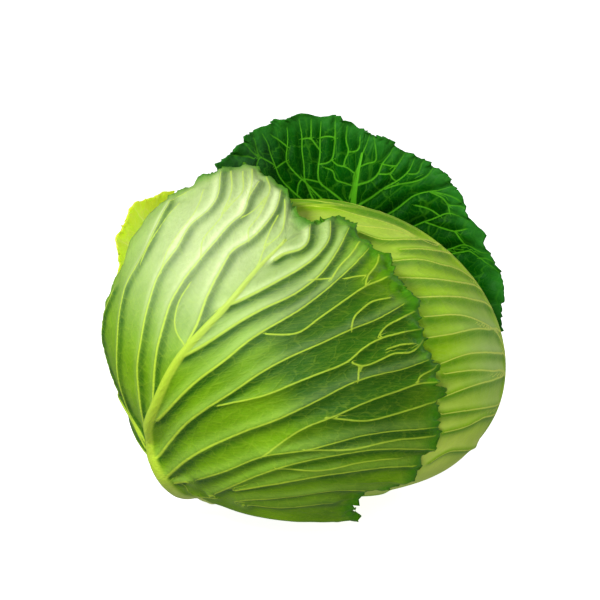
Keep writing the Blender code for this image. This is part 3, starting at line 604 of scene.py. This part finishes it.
def pinned(leaf, grid, normals, runs):
    """Side ribs given by picture places, laid on the leaf's smooth surface."""
    facing = ((VIEW_PLACE - grid) * normals).sum(axis=2) * leaf["faces_view"] > 0
    seen = grid[facing]
    places = on_picture(seen)
    tree = tree_of([(x, y, 0) for x, y in places])
    found = []
    for run in runs:
        run = np.array(run, float)
        steps = run_along(run)
        keys = np.column_stack([steps, run])
        at = np.linspace(0, steps[-1], max(4, int(steps[-1] / 1.5)))
        line = []
        for x, y in along(keys, at):
            near = [i for _, i, _ in tree.find_n((x, y, 0), 7)]
            fit = np.column_stack([places[near], np.ones(len(near))])
            answer = np.linalg.lstsq(fit - [x, y, 0], seen[near], rcond=1e-4)[0]
            point = seen[near].mean(axis=0) if np.ptp(places[near], axis=0).max() < 0.2 else answer[2]
            if np.linalg.norm(point - seen[near[0]]) > 4 * MM:
                point = seen[near[0]]
            line.append(point)
        found.append(np.array(line))
    return found


def rooted(grid, normals, lines, least_facing):
    """Side ribs carried on under what hides their start, along the leaf to its midrib."""
    middle = grid.shape[1] // 2
    tree = tree_of(grid.reshape(-1, 3))
    found = []
    for line in lines:
        index = np.array([tree.find(p)[1] for p in line])
        row, column = np.divmod(index, grid.shape[1])
        ray = VIEW_PLACE - line
        facing = np.abs((normals[row, column] * ray).sum(axis=1)) / np.linalg.norm(ray, axis=1)
        seen = np.flatnonzero(facing > least_facing)
        if len(seen) < 6:
            continue
        start = seen[0]
        ahead = min(start + 14, len(line) - 1)
        gone = max(abs(column[ahead] - column[start]), 3)
        lean = np.clip((row[ahead] - row[start]) / gone, -1.2, 2.2)
        away = abs(column[start] - middle)
        root_row = np.clip(row[start] - max(lean, 0.25) * away, 4, len(grid) - 5)
        u = np.linspace(1, 0, max(int(away / 2), 2), endpoint=False)
        path_row = np.rint(row[start] + (root_row - row[start]) * u ** 1.15).astype(int)
        path_column = np.rint(column[start] + (middle - column[start]) * u).astype(int)
        found.append(np.concatenate([grid[path_row, path_column], line[start:]]))
    return found


def headings(points):
    """The direction of a line at each of its points."""
    way = np.gradient(points, axis=0)
    return way / np.maximum(np.linalg.norm(way, axis=1, keepdims=True), 1e-12)


def midrib_of(leaf):
    """Close points along the midrib, its direction, and its half width and height in mm."""
    s = np.linspace(-2, leaf["rib"][-1][0], 900)
    middle = along(leaf["midrib"], s)
    points = on_head(leaf, middle, middle[:, 2])
    return points, headings(points), along(leaf["rib"], s)


def ribs_of(lines, start, end, calm=24):
    """Close points along the side ribs, their direction, and their half width in mm, from start to end."""
    points = []
    ways = []
    sizes = []
    for line in lines:
        steps = run_along(line)
        at = np.linspace(0, steps[-1], max(8, int(steps[-1] / (0.45 * MM))))
        fine = np.column_stack([np.interp(at, steps, line[:, k]) for k in range(3)])
        for _ in range(calm):
            fine[1:-1] = (fine[:-2] + 2 * fine[1:-1] + fine[2:]) / 4
        points.append(fine)
        ways.append(headings(fine))
        sizes.append(start + (end - start) * (at / steps[-1]) ** 0.8)
    return np.concatenate(points), np.concatenate(ways), np.concatenate(sizes)


def nearest_rib(grid, normals, ribs):
    """For each grid point: mm to the nearest rib, that rib's sizes there, and which side of it."""
    points, ways, sizes = ribs
    tree = tree_of(points)
    flat = grid.reshape(-1, 3)
    away = np.empty(len(flat))
    index = np.empty(len(flat), int)
    for i, p in enumerate(flat):
        _, index[i], away[i] = tree.find(p)
    offset = flat - points[index]
    side = (np.cross(normals.reshape(-1, 3), ways[index]) * offset).sum(axis=1)
    shape = grid.shape[:2]
    near_sizes = sizes[index].reshape(shape + sizes.shape[1:])
    return (away / MM).reshape(shape), near_sizes, np.sign(side).reshape(shape)


def softened(values, times):
    """A grid of values, each mixed with its neighbours a number of times."""
    for _ in range(times):
        values = values.copy()
        values[1:-1] = (values[:-2] + 2 * values[1:-1] + values[2:]) / 4
        values[:, 1:-1] = (values[:, :-2] + 2 * values[:, 1:-1] + values[:, 2:]) / 4
    return values


def raised_leaf(leaf, ribs, forks):
    """The leaf's outer and inner points as grids, what its finish reads at each, and its flat map."""
    detail = 1.0
    columns = int(leaf["columns"] * detail)
    s = row_places(leaf, int(leaf["rows"] * detail))
    halves = {side: half_grid(leaf, side, s, columns) for side in ("left", "right")}
    order = ("left", "right")
    if (grid_normals(joined(halves, order, "points")) @ leaf["axes"][2]).mean() < 0:
        order = ("right", "left")
    grid = joined(halves, order, "points")
    across = joined(halves, order, "across", -1.0)
    inset = joined(halves, order, "inset")
    normals = grid_normals(grid)
    lines = pinned(leaf, grid, normals, ribs)
    if "rooted_from" in leaf:
        kept_lines = leaf["rooted_from"]
        lines = lines[:kept_lines] + rooted(grid, normals, lines[kept_lines:], leaf["least_facing"])
    for side in order:
        for place in leaf["hidden_veins"][side]:
            row = int(np.argmin(np.abs(s - place)))
            lines.append(halves[side]["points"][row, ::3])
    away, width, side = nearest_rib(grid, normals, ribs_of(lines, *RIB_HALF_WIDTHS, leaf.get("calm", 24)))
    side = side * leaf.get("shade_side", 1)
    fork_away = np.full(away.shape, NO_FORK_NEAR)
    fork_width = np.full(away.shape, 0.5)
    fork_side = np.ones(away.shape)
    if forks:
        branches = ribs_of(pinned(leaf, grid, normals, forks), *FORK_HALF_WIDTHS)
        fork_away, fork_width, fork_side = nearest_rib(grid, normals, branches)
    middle_away, middle_size, _ = nearest_rib(grid, normals, midrib_of(leaf))
    rib_place = np.clip(middle_away / middle_size[..., 0], 0, 9)
    upward = run_along(grid[:, grid.shape[1] * 3 // 4])
    v = np.tile(upward[:, None] / MM, (1, grid.shape[1]))
    reach = smoothly(0.7, 1.8, rib_place)
    nearest = np.minimum(away, fork_away + 1.0)
    ridge = RIB_HEIGHT * np.exp(-(away / np.maximum(width * 1.2, 1.2)) ** 2) * (width / 1.25)
    small_ridge = FORK_HEIGHT * np.exp(-(fork_away / np.maximum(fork_width * 1.2, 1.0)) ** 2) * reach
    valley = leaf["panel"] * (1 - np.exp(-(nearest / PANEL_SLOPE) ** 2)) * reach
    valley = valley * smoothly(0.0, 14.0, middle_away)
    # Bands beside each side rib: the low side is a real drop of the panel and also painted shade in the
    # finish; the high side is only painted light in the finish.
    low_shaded_side = softened(np.exp(-(away / PANEL_SLOPE) ** 2.5) * smoothly(0.5, -1.0, away * side), 4)
    high_lit_side = softened(np.exp(-(away / LIT_SIDE_SLOPE) ** 2.5) * smoothly(-0.5, 1.0, away * side), 4)
    step = leaf["step"] * low_shaded_side * reach
    seed = leaf["seed"]
    lumps = cloud_noise(grid / MM, 17.0, seed + 1) * 0.45 + cloud_noise(grid / MM, 7.0, seed + 2) * 0.22
    rim = np.exp(-inset / 6.5) * leaf.get("crinkle", 1.5)
    margin_gap = inset
    if "flat_left" in leaf:
        low, high = leaf["flat_left"]
        wavy = np.where(across < 0, smoothly(low, high, s)[:, None], 1.0)
        rim = rim * (0.15 + 0.85 * wavy)
        margin_gap = inset + 9.0 * (1 - wavy)
    crinkle = cloud_noise(grid / MM, 6.0, seed + 3) * 0.9 + cloud_noise(grid / MM, 3.0, seed + 4) * 0.6
    crinkle = crinkle * rim
    bulge = middle_size[..., 1] * np.clip(1 - rib_place ** 2, 0, 1) ** 1.2
    ribs_raised = (bulge ** 3 + ridge ** 3 + small_ridge ** 3) ** (1 / 3)
    waves = leaf["crumple"] * (lumps * reach + crinkle) - valley - step
    blade = BLADE * (0.75 + 0.25 * smoothly(0, 8, inset))
    outer = grid + normals * ((blade / 2 + waves + ribs_raised) * MM)[..., None] + HEAD_CENTRE
    inner = grid + normals * ((waves - blade / 2) * MM)[..., None] + HEAD_CENTRE
    outer[..., 2] = np.maximum(outer[..., 2], leaf["level"] * MM)
    inner[..., 2] = np.maximum(inner[..., 2], (leaf["level"] + PRESSED_SHARE * BLADE) * MM)
    marks = dict(
        rib_gap=away, rib_line=away * side, rib_size=width, fork_gap=fork_away,
        fork_line=fork_away * fork_side, rib_place=rib_place, edge_gap=margin_gap,
        low_shaded_side=low_shaded_side, high_lit_side=high_lit_side,
    )
    return outer, inner, marks, np.stack([across, v], axis=-1) / MAP_SPAN


def mark_points(mesh, key, values):
    """Stores a number at each point of a mesh under a name."""
    made = mesh.attributes.new(key, "FLOAT", "POINT")
    made.data.foreach_set("value", values.ravel().astype(np.float32))


def marks_of(mesh, key):
    """Whole numbers stored at each point of a mesh, which are then taken off it."""
    values = np.empty(len(mesh.vertices), np.float32)
    mesh.attributes[key].data.foreach_get("value", values)
    mesh.attributes.remove(mesh.attributes[key])
    return np.rint(values).astype(int)


def leaf_piece(name, node, leaf, ribs, forks, finishes):
    """Shapes a fine grid to the leaf, merges its tip, thickens it and puts both faces in place."""
    outer, inner, marks, flat_map = raised_leaf(leaf, ribs, forks)
    rows, wide = outer.shape[:2]
    bpy.ops.object.select_all(action="DESELECT")
    bpy.ops.mesh.primitive_grid_add(
        x_subdivisions=wide - 1, y_subdivisions=rows - 1, size=1.0, location=(0, 0, 0),
    )
    piece = bpy.context.object
    piece.name = name
    mesh = piece.data
    mesh.name = name
    place = np.empty(len(mesh.vertices) * 3)
    mesh.vertices.foreach_get("co", place)
    place = place.reshape(-1, 3)
    column = np.rint((place[:, 0] + 0.5) * (wide - 1)).astype(int)
    row = np.rint((place[:, 1] + 0.5) * (rows - 1)).astype(int)
    mesh.vertices.foreach_set("co", outer[row, column].ravel())
    mark_points(mesh, "grid_row", row)
    mark_points(mesh, "grid_column", column)
    for key, values in marks.items():
        mark_points(mesh, key, values[row, column])
    corners = np.empty(len(mesh.loops), int)
    mesh.loops.foreach_get("vertex_index", corners)
    mesh.uv_layers[0].name = "leaf_map"
    mesh.uv_layers["leaf_map"].data.foreach_set("uv", flat_map[row, column][corners].ravel())
    for finish in finishes:
        mesh.materials.append(finish)
    bpy.ops.object.mode_set(mode="EDIT")
    bpy.ops.mesh.select_all(action="SELECT")
    bpy.ops.mesh.remove_doubles(threshold=0.00001)
    bpy.ops.object.mode_set(mode="OBJECT")
    body = piece.modifiers.new("thickness", "SOLIDIFY")
    body.thickness = BLADE * MM
    body.offset = -1.0
    body.material_offset = 1
    body.material_offset_rim = 2
    bpy.ops.object.modifier_apply(modifier=body.name)
    mesh = piece.data
    row = marks_of(mesh, "grid_row")
    column = marks_of(mesh, "grid_column")
    outside = np.arange(len(row)) < len(row) // 2
    placed = np.where(outside[:, None], outer[row, column], inner[row, column])
    mesh.vertices.foreach_set("co", placed.ravel())
    mesh.update()
    bpy.ops.object.shade_smooth()
    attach(piece, "root")
    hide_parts(node)
    return piece


class Wire:
    """A shader value that can be written in sums."""

    def __init__(self, tree, socket):
        self.tree = tree
        self.socket = socket

    def node(self, kind, settings=None, **values):
        """Adds any node: its settings first, then the values or links of its sockets; returns it."""
        made = self.tree.nodes.new(kind)
        for key, value in (settings or {}).items():
            setattr(made, key, value)
        for key, value in values.items():
            by_number = key[0] == "i" and key[1:].isdigit()
            socket = made.inputs[int(key[1:]) if by_number else key.replace("_", " ")]
            if isinstance(value, Wire):
                self.tree.links.new(value.socket, socket)
            else:
                socket.default_value = value
        return made

    def wire(self, kind, output, settings=None, **values):
        """Adds any node and returns one of its outputs."""
        return Wire(self.tree, self.node(kind, settings, **values).outputs[output])

    def sum(self, operation, a, b=0.0):
        return self.wire("ShaderNodeMath", 0, {"operation": operation}, i0=a, i1=b)

    def __add__(self, other):
        return self.sum("ADD", self, other)

    def __radd__(self, other):
        return self.sum("ADD", other, self)

    def __sub__(self, other):
        return self.sum("SUBTRACT", self, other)

    def __rsub__(self, other):
        return self.sum("SUBTRACT", other, self)

    def __mul__(self, other):
        return self.sum("MULTIPLY", self, other)

    def __rmul__(self, other):
        return self.sum("MULTIPLY", other, self)

    def __truediv__(self, other):
        return self.sum("DIVIDE", self, other)

    def __abs__(self):
        return self.sum("ABSOLUTE", self)

    def rise(self, low, high):
        """0 below low, 1 above high, smooth between; low may be the larger."""
        return self.wire("ShaderNodeMapRange", 0, {"interpolation_type": "SMOOTHSTEP"},
                         Value=self, From_Min=low, From_Max=high, To_Min=0.0, To_Max=1.0)

    def most(self, other):
        return self.sum("MAXIMUM", self, other)

    def least(self, other):
        return self.sum("MINIMUM", self, other)

    def colour(self, first, second):
        """Goes from the first colour at 0 to the second at 1."""
        settings = {"data_type": "RGBA", "clamp_factor": True}
        return self.wire("ShaderNodeMix", 2, settings, i0=self, i6=first, i7=second)

    def noise(self, scale, detail, roughness, output="Fac"):
        """Cloudy noise, read at this place."""
        return self.wire("ShaderNodeTexNoise", output,
                         Vector=self, Scale=scale, Detail=detail, Roughness=roughness)

    def far_from(self, point):
        """Metres from this place to a point."""
        return self.wire("ShaderNodeVectorMath", "Value", {"operation": "DISTANCE"},
                         i0=self, i1=tuple(point))

    def feed(self, shader, socket):
        """Gives this value to the shader."""
        self.tree.links.new(self.socket, shader.inputs[socket])

    def relief(self, shader, strength, distance):
        """Gives this height to the shader as fine relief."""
        raised = self.wire("ShaderNodeBump", 0, Strength=strength, Distance=distance, Height=self)
        raised.feed(shader, "Normal")


def rgb(red, green, blue):
    """A colour from its 0 to 255 screen values."""
    def linear(value):
        value = value / 255
        return value / 12.92 if value <= 0.04045 else ((value + 0.055) / 1.055) ** 2.4
    return (linear(red), linear(green), linear(blue), 1.0)


def finish_start(name, roughness, subsurface, radius, gloss=0.35):
    """A Principled material with its steady numbers set, its shader and a wire to build on."""
    made = bpy.data.materials.new(name)
    made.use_nodes = True
    shader = made.node_tree.nodes["Principled BSDF"]
    shader.inputs["Roughness"].default_value = roughness
    shader.inputs["Specular IOR Level"].default_value = gloss
    shader.inputs["Subsurface Weight"].default_value = subsurface
    shader.inputs["Subsurface Radius"].default_value = radius
    shader.inputs["Subsurface Scale"].default_value = 0.0015 if subsurface < 0.5 else 0.005
    return made, shader, Wire(made.node_tree, None)


def leaf_finish(
    name, blade, blade_dark_and_shaded, rib, edge, wax_sheen_colour, wax_sheen_from, wax_sheen_share,
    roughness=0.45, net_share=0.35, subsurface=0.1, fibre=0.1, shadow=0.35, inner=False,
    midrib_share=1.0, net_cells=11.0, puff=0.0, rib_share=0.85, gloss=0.25, glow=0.0,
    shade_at=None, pale=None, petiole=None,
):
    """Leaf skin: mottled blade, pale ribs and net, darker rim, fine fibres, a waxy bloom that is partly
    painted sheen, painted shade and light beside the ribs, painted shade spots and a painted glow where
    asked.
    """
    made, shader, start = finish_start(name, roughness, subsurface, (0.6, 1.0, 0.2), gloss)
    shader.inputs["Emission Strength"].default_value = glow
    place = start.wire("ShaderNodeTexCoord", "Object")
    leaf_map = start.wire("ShaderNodeUVMap", 0, {"uv_map": "leaf_map"})

    def kept(key):
        return start.wire("ShaderNodeAttribute", "Fac", {"attribute_name": key})

    rib_gap = kept("rib_gap")
    rib_size = kept("rib_size")
    fork_gap = kept("fork_gap")
    rib_line = kept("rib_line")
    fork_line = kept("fork_line")
    rib_place = kept("rib_place")
    edge_gap = kept("edge_gap")
    mottle = place.noise(38.0, 5.0, 0.6)
    patches = place.noise(14.0, 2.0, 0.5)
    speckle = place.noise(420.0, 2.0, 0.6)
    stretched = start.wire("ShaderNodeMapping", 0, None, Vector=leaf_map, Scale=(9.0, 90.0, 1.0))
    fibres = stretched.noise(1.6, 3.0, 0.55)
    wobble = leaf_map.noise(7.0, 2.0, 0.5, "Color")
    bent = start.wire("ShaderNodeMix", 1, {"data_type": "VECTOR"}, i0=0.06, i4=leaf_map, i5=wobble)

    def net_of(scale):
        return start.wire("ShaderNodeTexVoronoi", "Distance", {"feature": "DISTANCE_TO_EDGE"},
                          Vector=bent, Scale=scale, Randomness=0.85)

    net = net_of(net_cells)
    cells = net_of(net_cells * 2.6)
    tiny = net_of(net_cells * 6.0)

    rib_near = (rib_gap / rib_size).rise(2.8, 2.0)
    on_rib = (abs(rib_line) / rib_size).rise(0.95, 0.2) * rib_near * rib_share
    on_midrib = rib_place.rise(0.95, 0.6) * midrib_share
    on_fork = abs(fork_line).rise(0.65, 0.15) * fork_gap.rise(2.0, 1.5) * rib_share
    on_net = net.rise(0.055, 0.012) * net_share
    on_cells = cells.rise(0.06, 0.0) * (net_share * 0.55)
    on_tiny = tiny.rise(0.08, 0.0) * (net_share * 0.3)
    veins = on_rib.most(on_midrib).most(on_fork * 0.9).most(on_net).most(on_cells).most(on_tiny)
    # Painted shade on the low side of each side rib and painted light on its high side, as the key light
    # would fall over the relief.
    painted_rib_shade = kept("low_shaded_side") * 1.2 * (1 - on_midrib) * (1 - on_rib) * shadow
    painted_rib_light = kept("high_lit_side") * 1.2 * (1 - on_midrib) * (1 - on_rib) * shadow
    # The darker blade colour serves both the leaf's own mottled tone and the painted shade.
    tone_and_shade = mottle * 0.9 + patches * 0.8 - 0.45 + painted_rib_shade - painted_rib_light * 0.4
    # Painted shade: the blade is darker round a given point, where the light falls off.
    if shade_at:
        shade_middle, shade_reach = shade_at
        tone_and_shade = tone_and_shade + place.far_from(shade_middle).rise(shade_reach, 0.005) * 1.1
    tone_and_shade = tone_and_shade.least(1.0).most(0.0)
    skin = tone_and_shade.colour(blade, blade_dark_and_shaded)
    if pale:
        panels = rib_place.rise(1.6, 4.2) * rib_gap.rise(0.6, 3.0) * (1.25 - mottle) * (1 - painted_rib_shade)
        skin = (panels * patches.rise(0.35, 0.65)).colour(skin, pale)
    skin = (fibres.rise(0.42, 0.72) * fibre).colour(skin, rib)
    skin = (edge_gap.rise(12.0, 1.0) * (0.6 + mottle * 0.6)).colour(skin, edge)
    skin = (veins * (0.4 + 0.6 * edge_gap.rise(0.0, 13.0))).colour(skin, rib)
    if petiole:
        upward = start.wire("ShaderNodeSeparateXYZ", "Y", None, Vector=leaf_map)
        skin = (on_midrib * upward.rise(1.1, 0.35) * (1.1 - mottle * 0.4)).colour(skin, petiole)
    # The waxy bloom is partly the leaf's own wax and partly painted sheen: whitest round a lit place, added
    # on the lit side of the ribs and taken off in their painted shade.
    sheen_middle, sheen_end, sheen_full = wax_sheen_from
    wax_and_sheen = place.far_from(sheen_middle).rise(sheen_end, sheen_full)
    wax_and_sheen = wax_and_sheen * (0.68 + patches * 0.45 + painted_rib_light * 0.9) * wax_sheen_share + painted_rib_light * 0.13
    wax_and_sheen = wax_and_sheen * edge_gap.rise(-2.0, 14.0) * (0.75 + speckle * 0.35) * (1 - veins * 0.6)
    wax_and_sheen = wax_and_sheen * (1 - painted_rib_shade * 1.1) * (1.1 - mottle * 0.4)
    skin = wax_and_sheen.colour(skin, wax_sheen_colour)
    skin.feed(shader, "Base Color")
    # Painted glow: the skin's colour also shines out, standing in for light coming through the thin leaf.
    if glow:
        skin.feed(shader, "Emission Color")
    rough = roughness + wax_and_sheen * 0.28 + mottle * 0.1 - on_midrib * 0.06
    rough.feed(shader, "Roughness")
    height = fibres * 0.2 + mottle * 0.5 - net.rise(0.0, 0.2) * (0.3 + puff) - cells.rise(0.0, 0.2) * 0.2
    height = height - tiny.rise(0.0, 0.2) * 0.08 + speckle * 0.1
    height.relief(shader, 0.55, -0.0006 if inner else 0.0006)
    return made


def plain_finish(name, light, dark, roughness, scale):
    """Skin for what hardly shows: two greens in soft mottling and a fine grain."""
    made, shader, start = finish_start(name, roughness, 0.1, (0.6, 1.0, 0.2))
    place = start.wire("ShaderNodeTexCoord", "Object")
    mottle = place.noise(scale, 5.0, 0.6)
    grain = place.noise(scale * 9, 3.0, 0.6)
    (mottle * 0.8 + grain * 0.4).colour(light, dark).feed(shader, "Base Color")
    (mottle * 0.5 + grain * 0.5).relief(shader, 0.5, 0.0005)
    return made


def stump_finish():
    """Cut flesh of the stalk: cream with a greener skin, woody specks and rings, browned by the cut."""
    made, shader, start = finish_start("stump_flesh", 0.6, 0.1, (1.0, 0.9, 0.4))
    place = start.wire("ShaderNodeTexCoord", "Object")
    low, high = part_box("stalk")
    middle = (Vector(low) + Vector(high)) / 2
    centred = start.wire("ShaderNodeMapping", 0, Vector=place, Location=tuple(-middle))
    away = start.wire("ShaderNodeVectorMath", "Value", {"operation": "LENGTH"}, i0=centred)
    ringed = {"wave_type": "RINGS", "rings_direction": "Z"}
    rings = start.wire("ShaderNodeTexWave", "Fac", ringed,
                       Vector=centred, Scale=160.0, Distortion=3.0, Detail=2.0)
    specks = place.noise(650.0, 3.0, 0.7)
    stain = place.noise(110.0, 3.0, 0.6)
    flesh = (rings * 0.5 + specks * 0.5).colour(rgb(226, 220, 168), rgb(196, 190, 118))
    flesh = (stain.rise(0.52, 0.78) * 0.6).colour(flesh, rgb(150, 120, 66))
    flesh = away.rise(0.0125, 0.0165).colour(flesh, rgb(164, 180, 96))
    flesh.feed(shader, "Base Color")
    (specks * 0.6 + rings * 0.4).relief(shader, 0.6, 0.0006)
    return made


def dress_head():
    """Makes every leaf and gives each its finish."""
    bright_rib = rgb(186, 216, 58)
    wax_and_sheen_white = rgb(228, 242, 184)
    # Where the front leaf's wax and painted sheen are whitest, towards the key light.
    front_wax_sheen = (HEAD_CENTRE + np.array([-0.050, -0.048, 0.085]), 0.088, 0.012)
    # Painted shade spot over the lower middle of the front leaf.
    front_shade = (HEAD_CENTRE + np.array([0.022, -0.095, 0.026]), 0.060)
    front = leaf_finish(
        "front_leaf_outside", rgb(126, 176, 0), rgb(40, 94, 0), bright_rib, rgb(62, 132, 0), wax_and_sheen_white,
        front_wax_sheen, 0.74, shadow=0.85, net_share=0.1, net_cells=14.0, gloss=0.16,
        midrib_share=0.82, petiole=rgb(196, 216, 118), shade_at=front_shade,
    )
    front_in = leaf_finish(
        "front_leaf_inside", rgb(96, 150, 14), rgb(58, 108, 4), rgb(180, 206, 80), rgb(60, 112, 8),
        wax_and_sheen_white, front_wax_sheen, 0.25, inner=True,
    )
    front_rim = leaf_finish(
        "front_leaf_rim", rgb(130, 176, 30), rgb(84, 136, 10), bright_rib, rgb(90, 142, 16), wax_and_sheen_white,
        front_wax_sheen, 0.3,
    )
    # Painted highlight along the head leaf's right edge, where the rim light catches it.
    right_painted_highlight = (HEAD_CENTRE + np.array([0.094, -0.03, 0.01]), 0.045, 0.005)
    # Painted shadow at the top of the head leaf, under the dark leaf.
    head_shade = (HEAD_CENTRE + np.array([0.03, 0.018, 0.074]), 0.036)
    head = leaf_finish(
        "head_leaf_outside", rgb(176, 226, 0), rgb(92, 156, 0), rgb(224, 240, 96), rgb(124, 180, 4),
        rgb(200, 222, 158), right_painted_highlight, 0.5, roughness=0.42, pale=rgb(214, 238, 100),
        shade_at=head_shade, net_share=0.06, fibre=0.1, shadow=0.9, midrib_share=0.2, gloss=0.1,
    )
    head_in = leaf_finish(
        "head_leaf_inside", rgb(186, 206, 90), rgb(150, 186, 50), rgb(214, 226, 130),
        rgb(150, 186, 50), wax_and_sheen_white, right_painted_highlight, 0.1, roughness=0.4, net_share=0.2, inner=True,
    )
    # Where the dark leaf's wax and painted sheen are whitest, on its upturned top margin.
    back_wax_sheen = (HEAD_CENTRE + np.array([-0.06, 0.085, 0.095]), 0.050, 0.005)
    dark = leaf_finish(
        "back_leaf_inside", rgb(0, 88, 0), rgb(0, 46, 0), rgb(92, 182, 28), rgb(40, 116, 30),
        rgb(104, 156, 110), back_wax_sheen, 0.5, net_share=0.2, fibre=0.03, shadow=0.0, inner=True,
        puff=0.3, net_cells=9.0, rib_share=0.85, gloss=0.05,
    )
    dark_out = leaf_finish(
        "back_leaf_outside", rgb(92, 144, 46), rgb(52, 106, 16), rgb(176, 204, 108),
        rgb(52, 110, 28), rgb(170, 196, 160), back_wax_sheen, 0.6, roughness=0.5, net_share=0.3,
        net_cells=20.0,
    )
    dark_rim = leaf_finish(
        "back_leaf_rim", rgb(60, 124, 50), rgb(40, 104, 30), rgb(120, 170, 90), rgb(60, 124, 56),
        rgb(150, 180, 150), back_wax_sheen, 0.4, roughness=0.5,
    )
    left_bloom = (HEAD_CENTRE + np.array([-0.10, 0.02, 0.07]), 0.05, 0.005)
    # The left leaf has a painted glow, standing in for light shining through it.
    bright = leaf_finish(
        "left_leaf_outside", rgb(206, 226, 60), rgb(178, 206, 44), rgb(230, 242, 140),
        rgb(200, 226, 36), rgb(236, 246, 180), left_bloom, 0.4, net_share=0.4, subsurface=0.8,
        glow=0.12,
    )
    bright_in = leaf_finish(
        "left_leaf_inside", rgb(216, 238, 56), rgb(190, 220, 36), rgb(230, 242, 140),
        rgb(204, 230, 44), rgb(236, 246, 180), left_bloom, 0.3, net_share=0.4, subsurface=0.8,
        inner=True, glow=0.22,
    )

    packed_back = packed_leaf((-0.25, 0.90, 0.35), HEAD_LEAF_LEVELS[0], 3, 58.0, 92.0)
    packed_left = packed_leaf((-0.72, -0.55, 0.45), HEAD_LEAF_LEVELS[1], 4, 62.0, 84.0)
    front_faces = (front, front_in, front_rim)
    head_faces = (head, head_in, head)
    back_faces = (dark_out, dark, dark_rim)
    left_faces = (bright, bright_in, bright)
    leaves = (
        ("front_leaf", "front_wrapper_leaf", FRONT_LEAF, FRONT_RIBS, FRONT_FORKS, front_faces, "front_leaf"),
        ("right_leaf", "head_leaf_right", RIGHT_LEAF, RIGHT_RIBS, RIGHT_FORKS, head_faces, "head_leaf"),
        ("back_leaf", "back_wrapper_leaf", BACK_LEAF, BACK_RIBS, BACK_FORKS, back_faces, "dark_leaf"),
        ("left_leaf", "left_wrapper_leaf", LEFT_LEAF, [], [], left_faces, "bright_leaf"),
        ("packed_back_leaf", "head_leaf_back", packed_back, [], [], head_faces, "head_leaf"),
        ("packed_left_leaf", "head_leaf_left", packed_left, [], [], head_faces, "head_leaf"),
    )
    for name, node, leaf, ribs, forks, faces, slot in leaves:
        piece = leaf_piece(name, node, with_base(leaf), ribs, forks, faces)
    heart_skin = plain_finish("packed_heart", rgb(214, 226, 150), rgb(186, 206, 110), 0.5, 60.0)
    for name, finish in (("heart", heart_skin), ("stalk", stump_finish())):
        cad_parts[name].data.materials.clear()
        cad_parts[name].data.materials.append(finish)


def studio():
    """A flat white paper floor, soft lights and the camera at the photograph's place."""
    bpy.ops.object.select_all(action="DESELECT")
    bpy.ops.mesh.primitive_plane_add(size=60.0, location=(0, 0, 0))
    floor = bpy.context.object
    floor.name = "paper_floor"
    paper = bpy.data.materials.new("white_paper")
    paper.use_nodes = True
    shader = paper.node_tree.nodes["Principled BSDF"]
    shader.inputs["Base Color"].default_value = (0.8, 0.8, 0.8, 1)
    shader.inputs["Roughness"].default_value = 0.9
    shader.inputs["Emission Color"].default_value = (1, 1, 1, 1)
    shader.inputs["Emission Strength"].default_value = 0.9
    floor.data.materials.append(paper)
    floor.visible_diffuse = False
    floor.visible_glossy = False
    world = bpy.data.worlds.new("studio_air")
    world.use_nodes = True
    world.node_tree.nodes["Background"].inputs["Color"].default_value = (1.0, 1.0, 1.0, 1)
    world.node_tree.nodes["Background"].inputs["Strength"].default_value = 0.28
    bpy.context.scene.world = world

    def soft_light(name, place, size, power):
        lamp = bpy.data.lights.new(name, "AREA")
        lamp.shape = "DISK"
        lamp.size = size
        lamp.energy = power
        held = bpy.data.objects.new(name, lamp)
        held.location = place
        held.rotation_euler = (Vector((0, 0, 0.09)) - Vector(place)).to_track_quat("-Z", "Y").to_euler()
        bpy.context.scene.collection.objects.link(held)

    soft_light("key_light", (-0.82, -0.50, 0.95), 0.40, 15.0)
    soft_light("fill_light", (-0.10, -1.25, 0.02), 0.6, 11.5)
    soft_light("rim_light", (0.9, 0.30, 0.6), 0.4, 2.5)

    camera = bpy.data.cameras.new("camera")
    camera.lens = 144.0
    camera.sensor_width = 36.0
    held = bpy.data.objects.new("camera", camera)
    axes = np.column_stack([VIEW_RIGHT, VIEW_UP, TOWARDS_VIEW])
    turn = Matrix([tuple(row) for row in axes.tolist()]).to_4x4()
    held.matrix_world = Matrix.Translation(Vector(VIEW_PLACE + HEAD_CENTRE)) @ turn
    bpy.context.scene.collection.objects.link(held)
    bpy.context.scene.camera = held
    bpy.context.scene.view_settings.view_transform = "Standard"


dress_head()
studio()
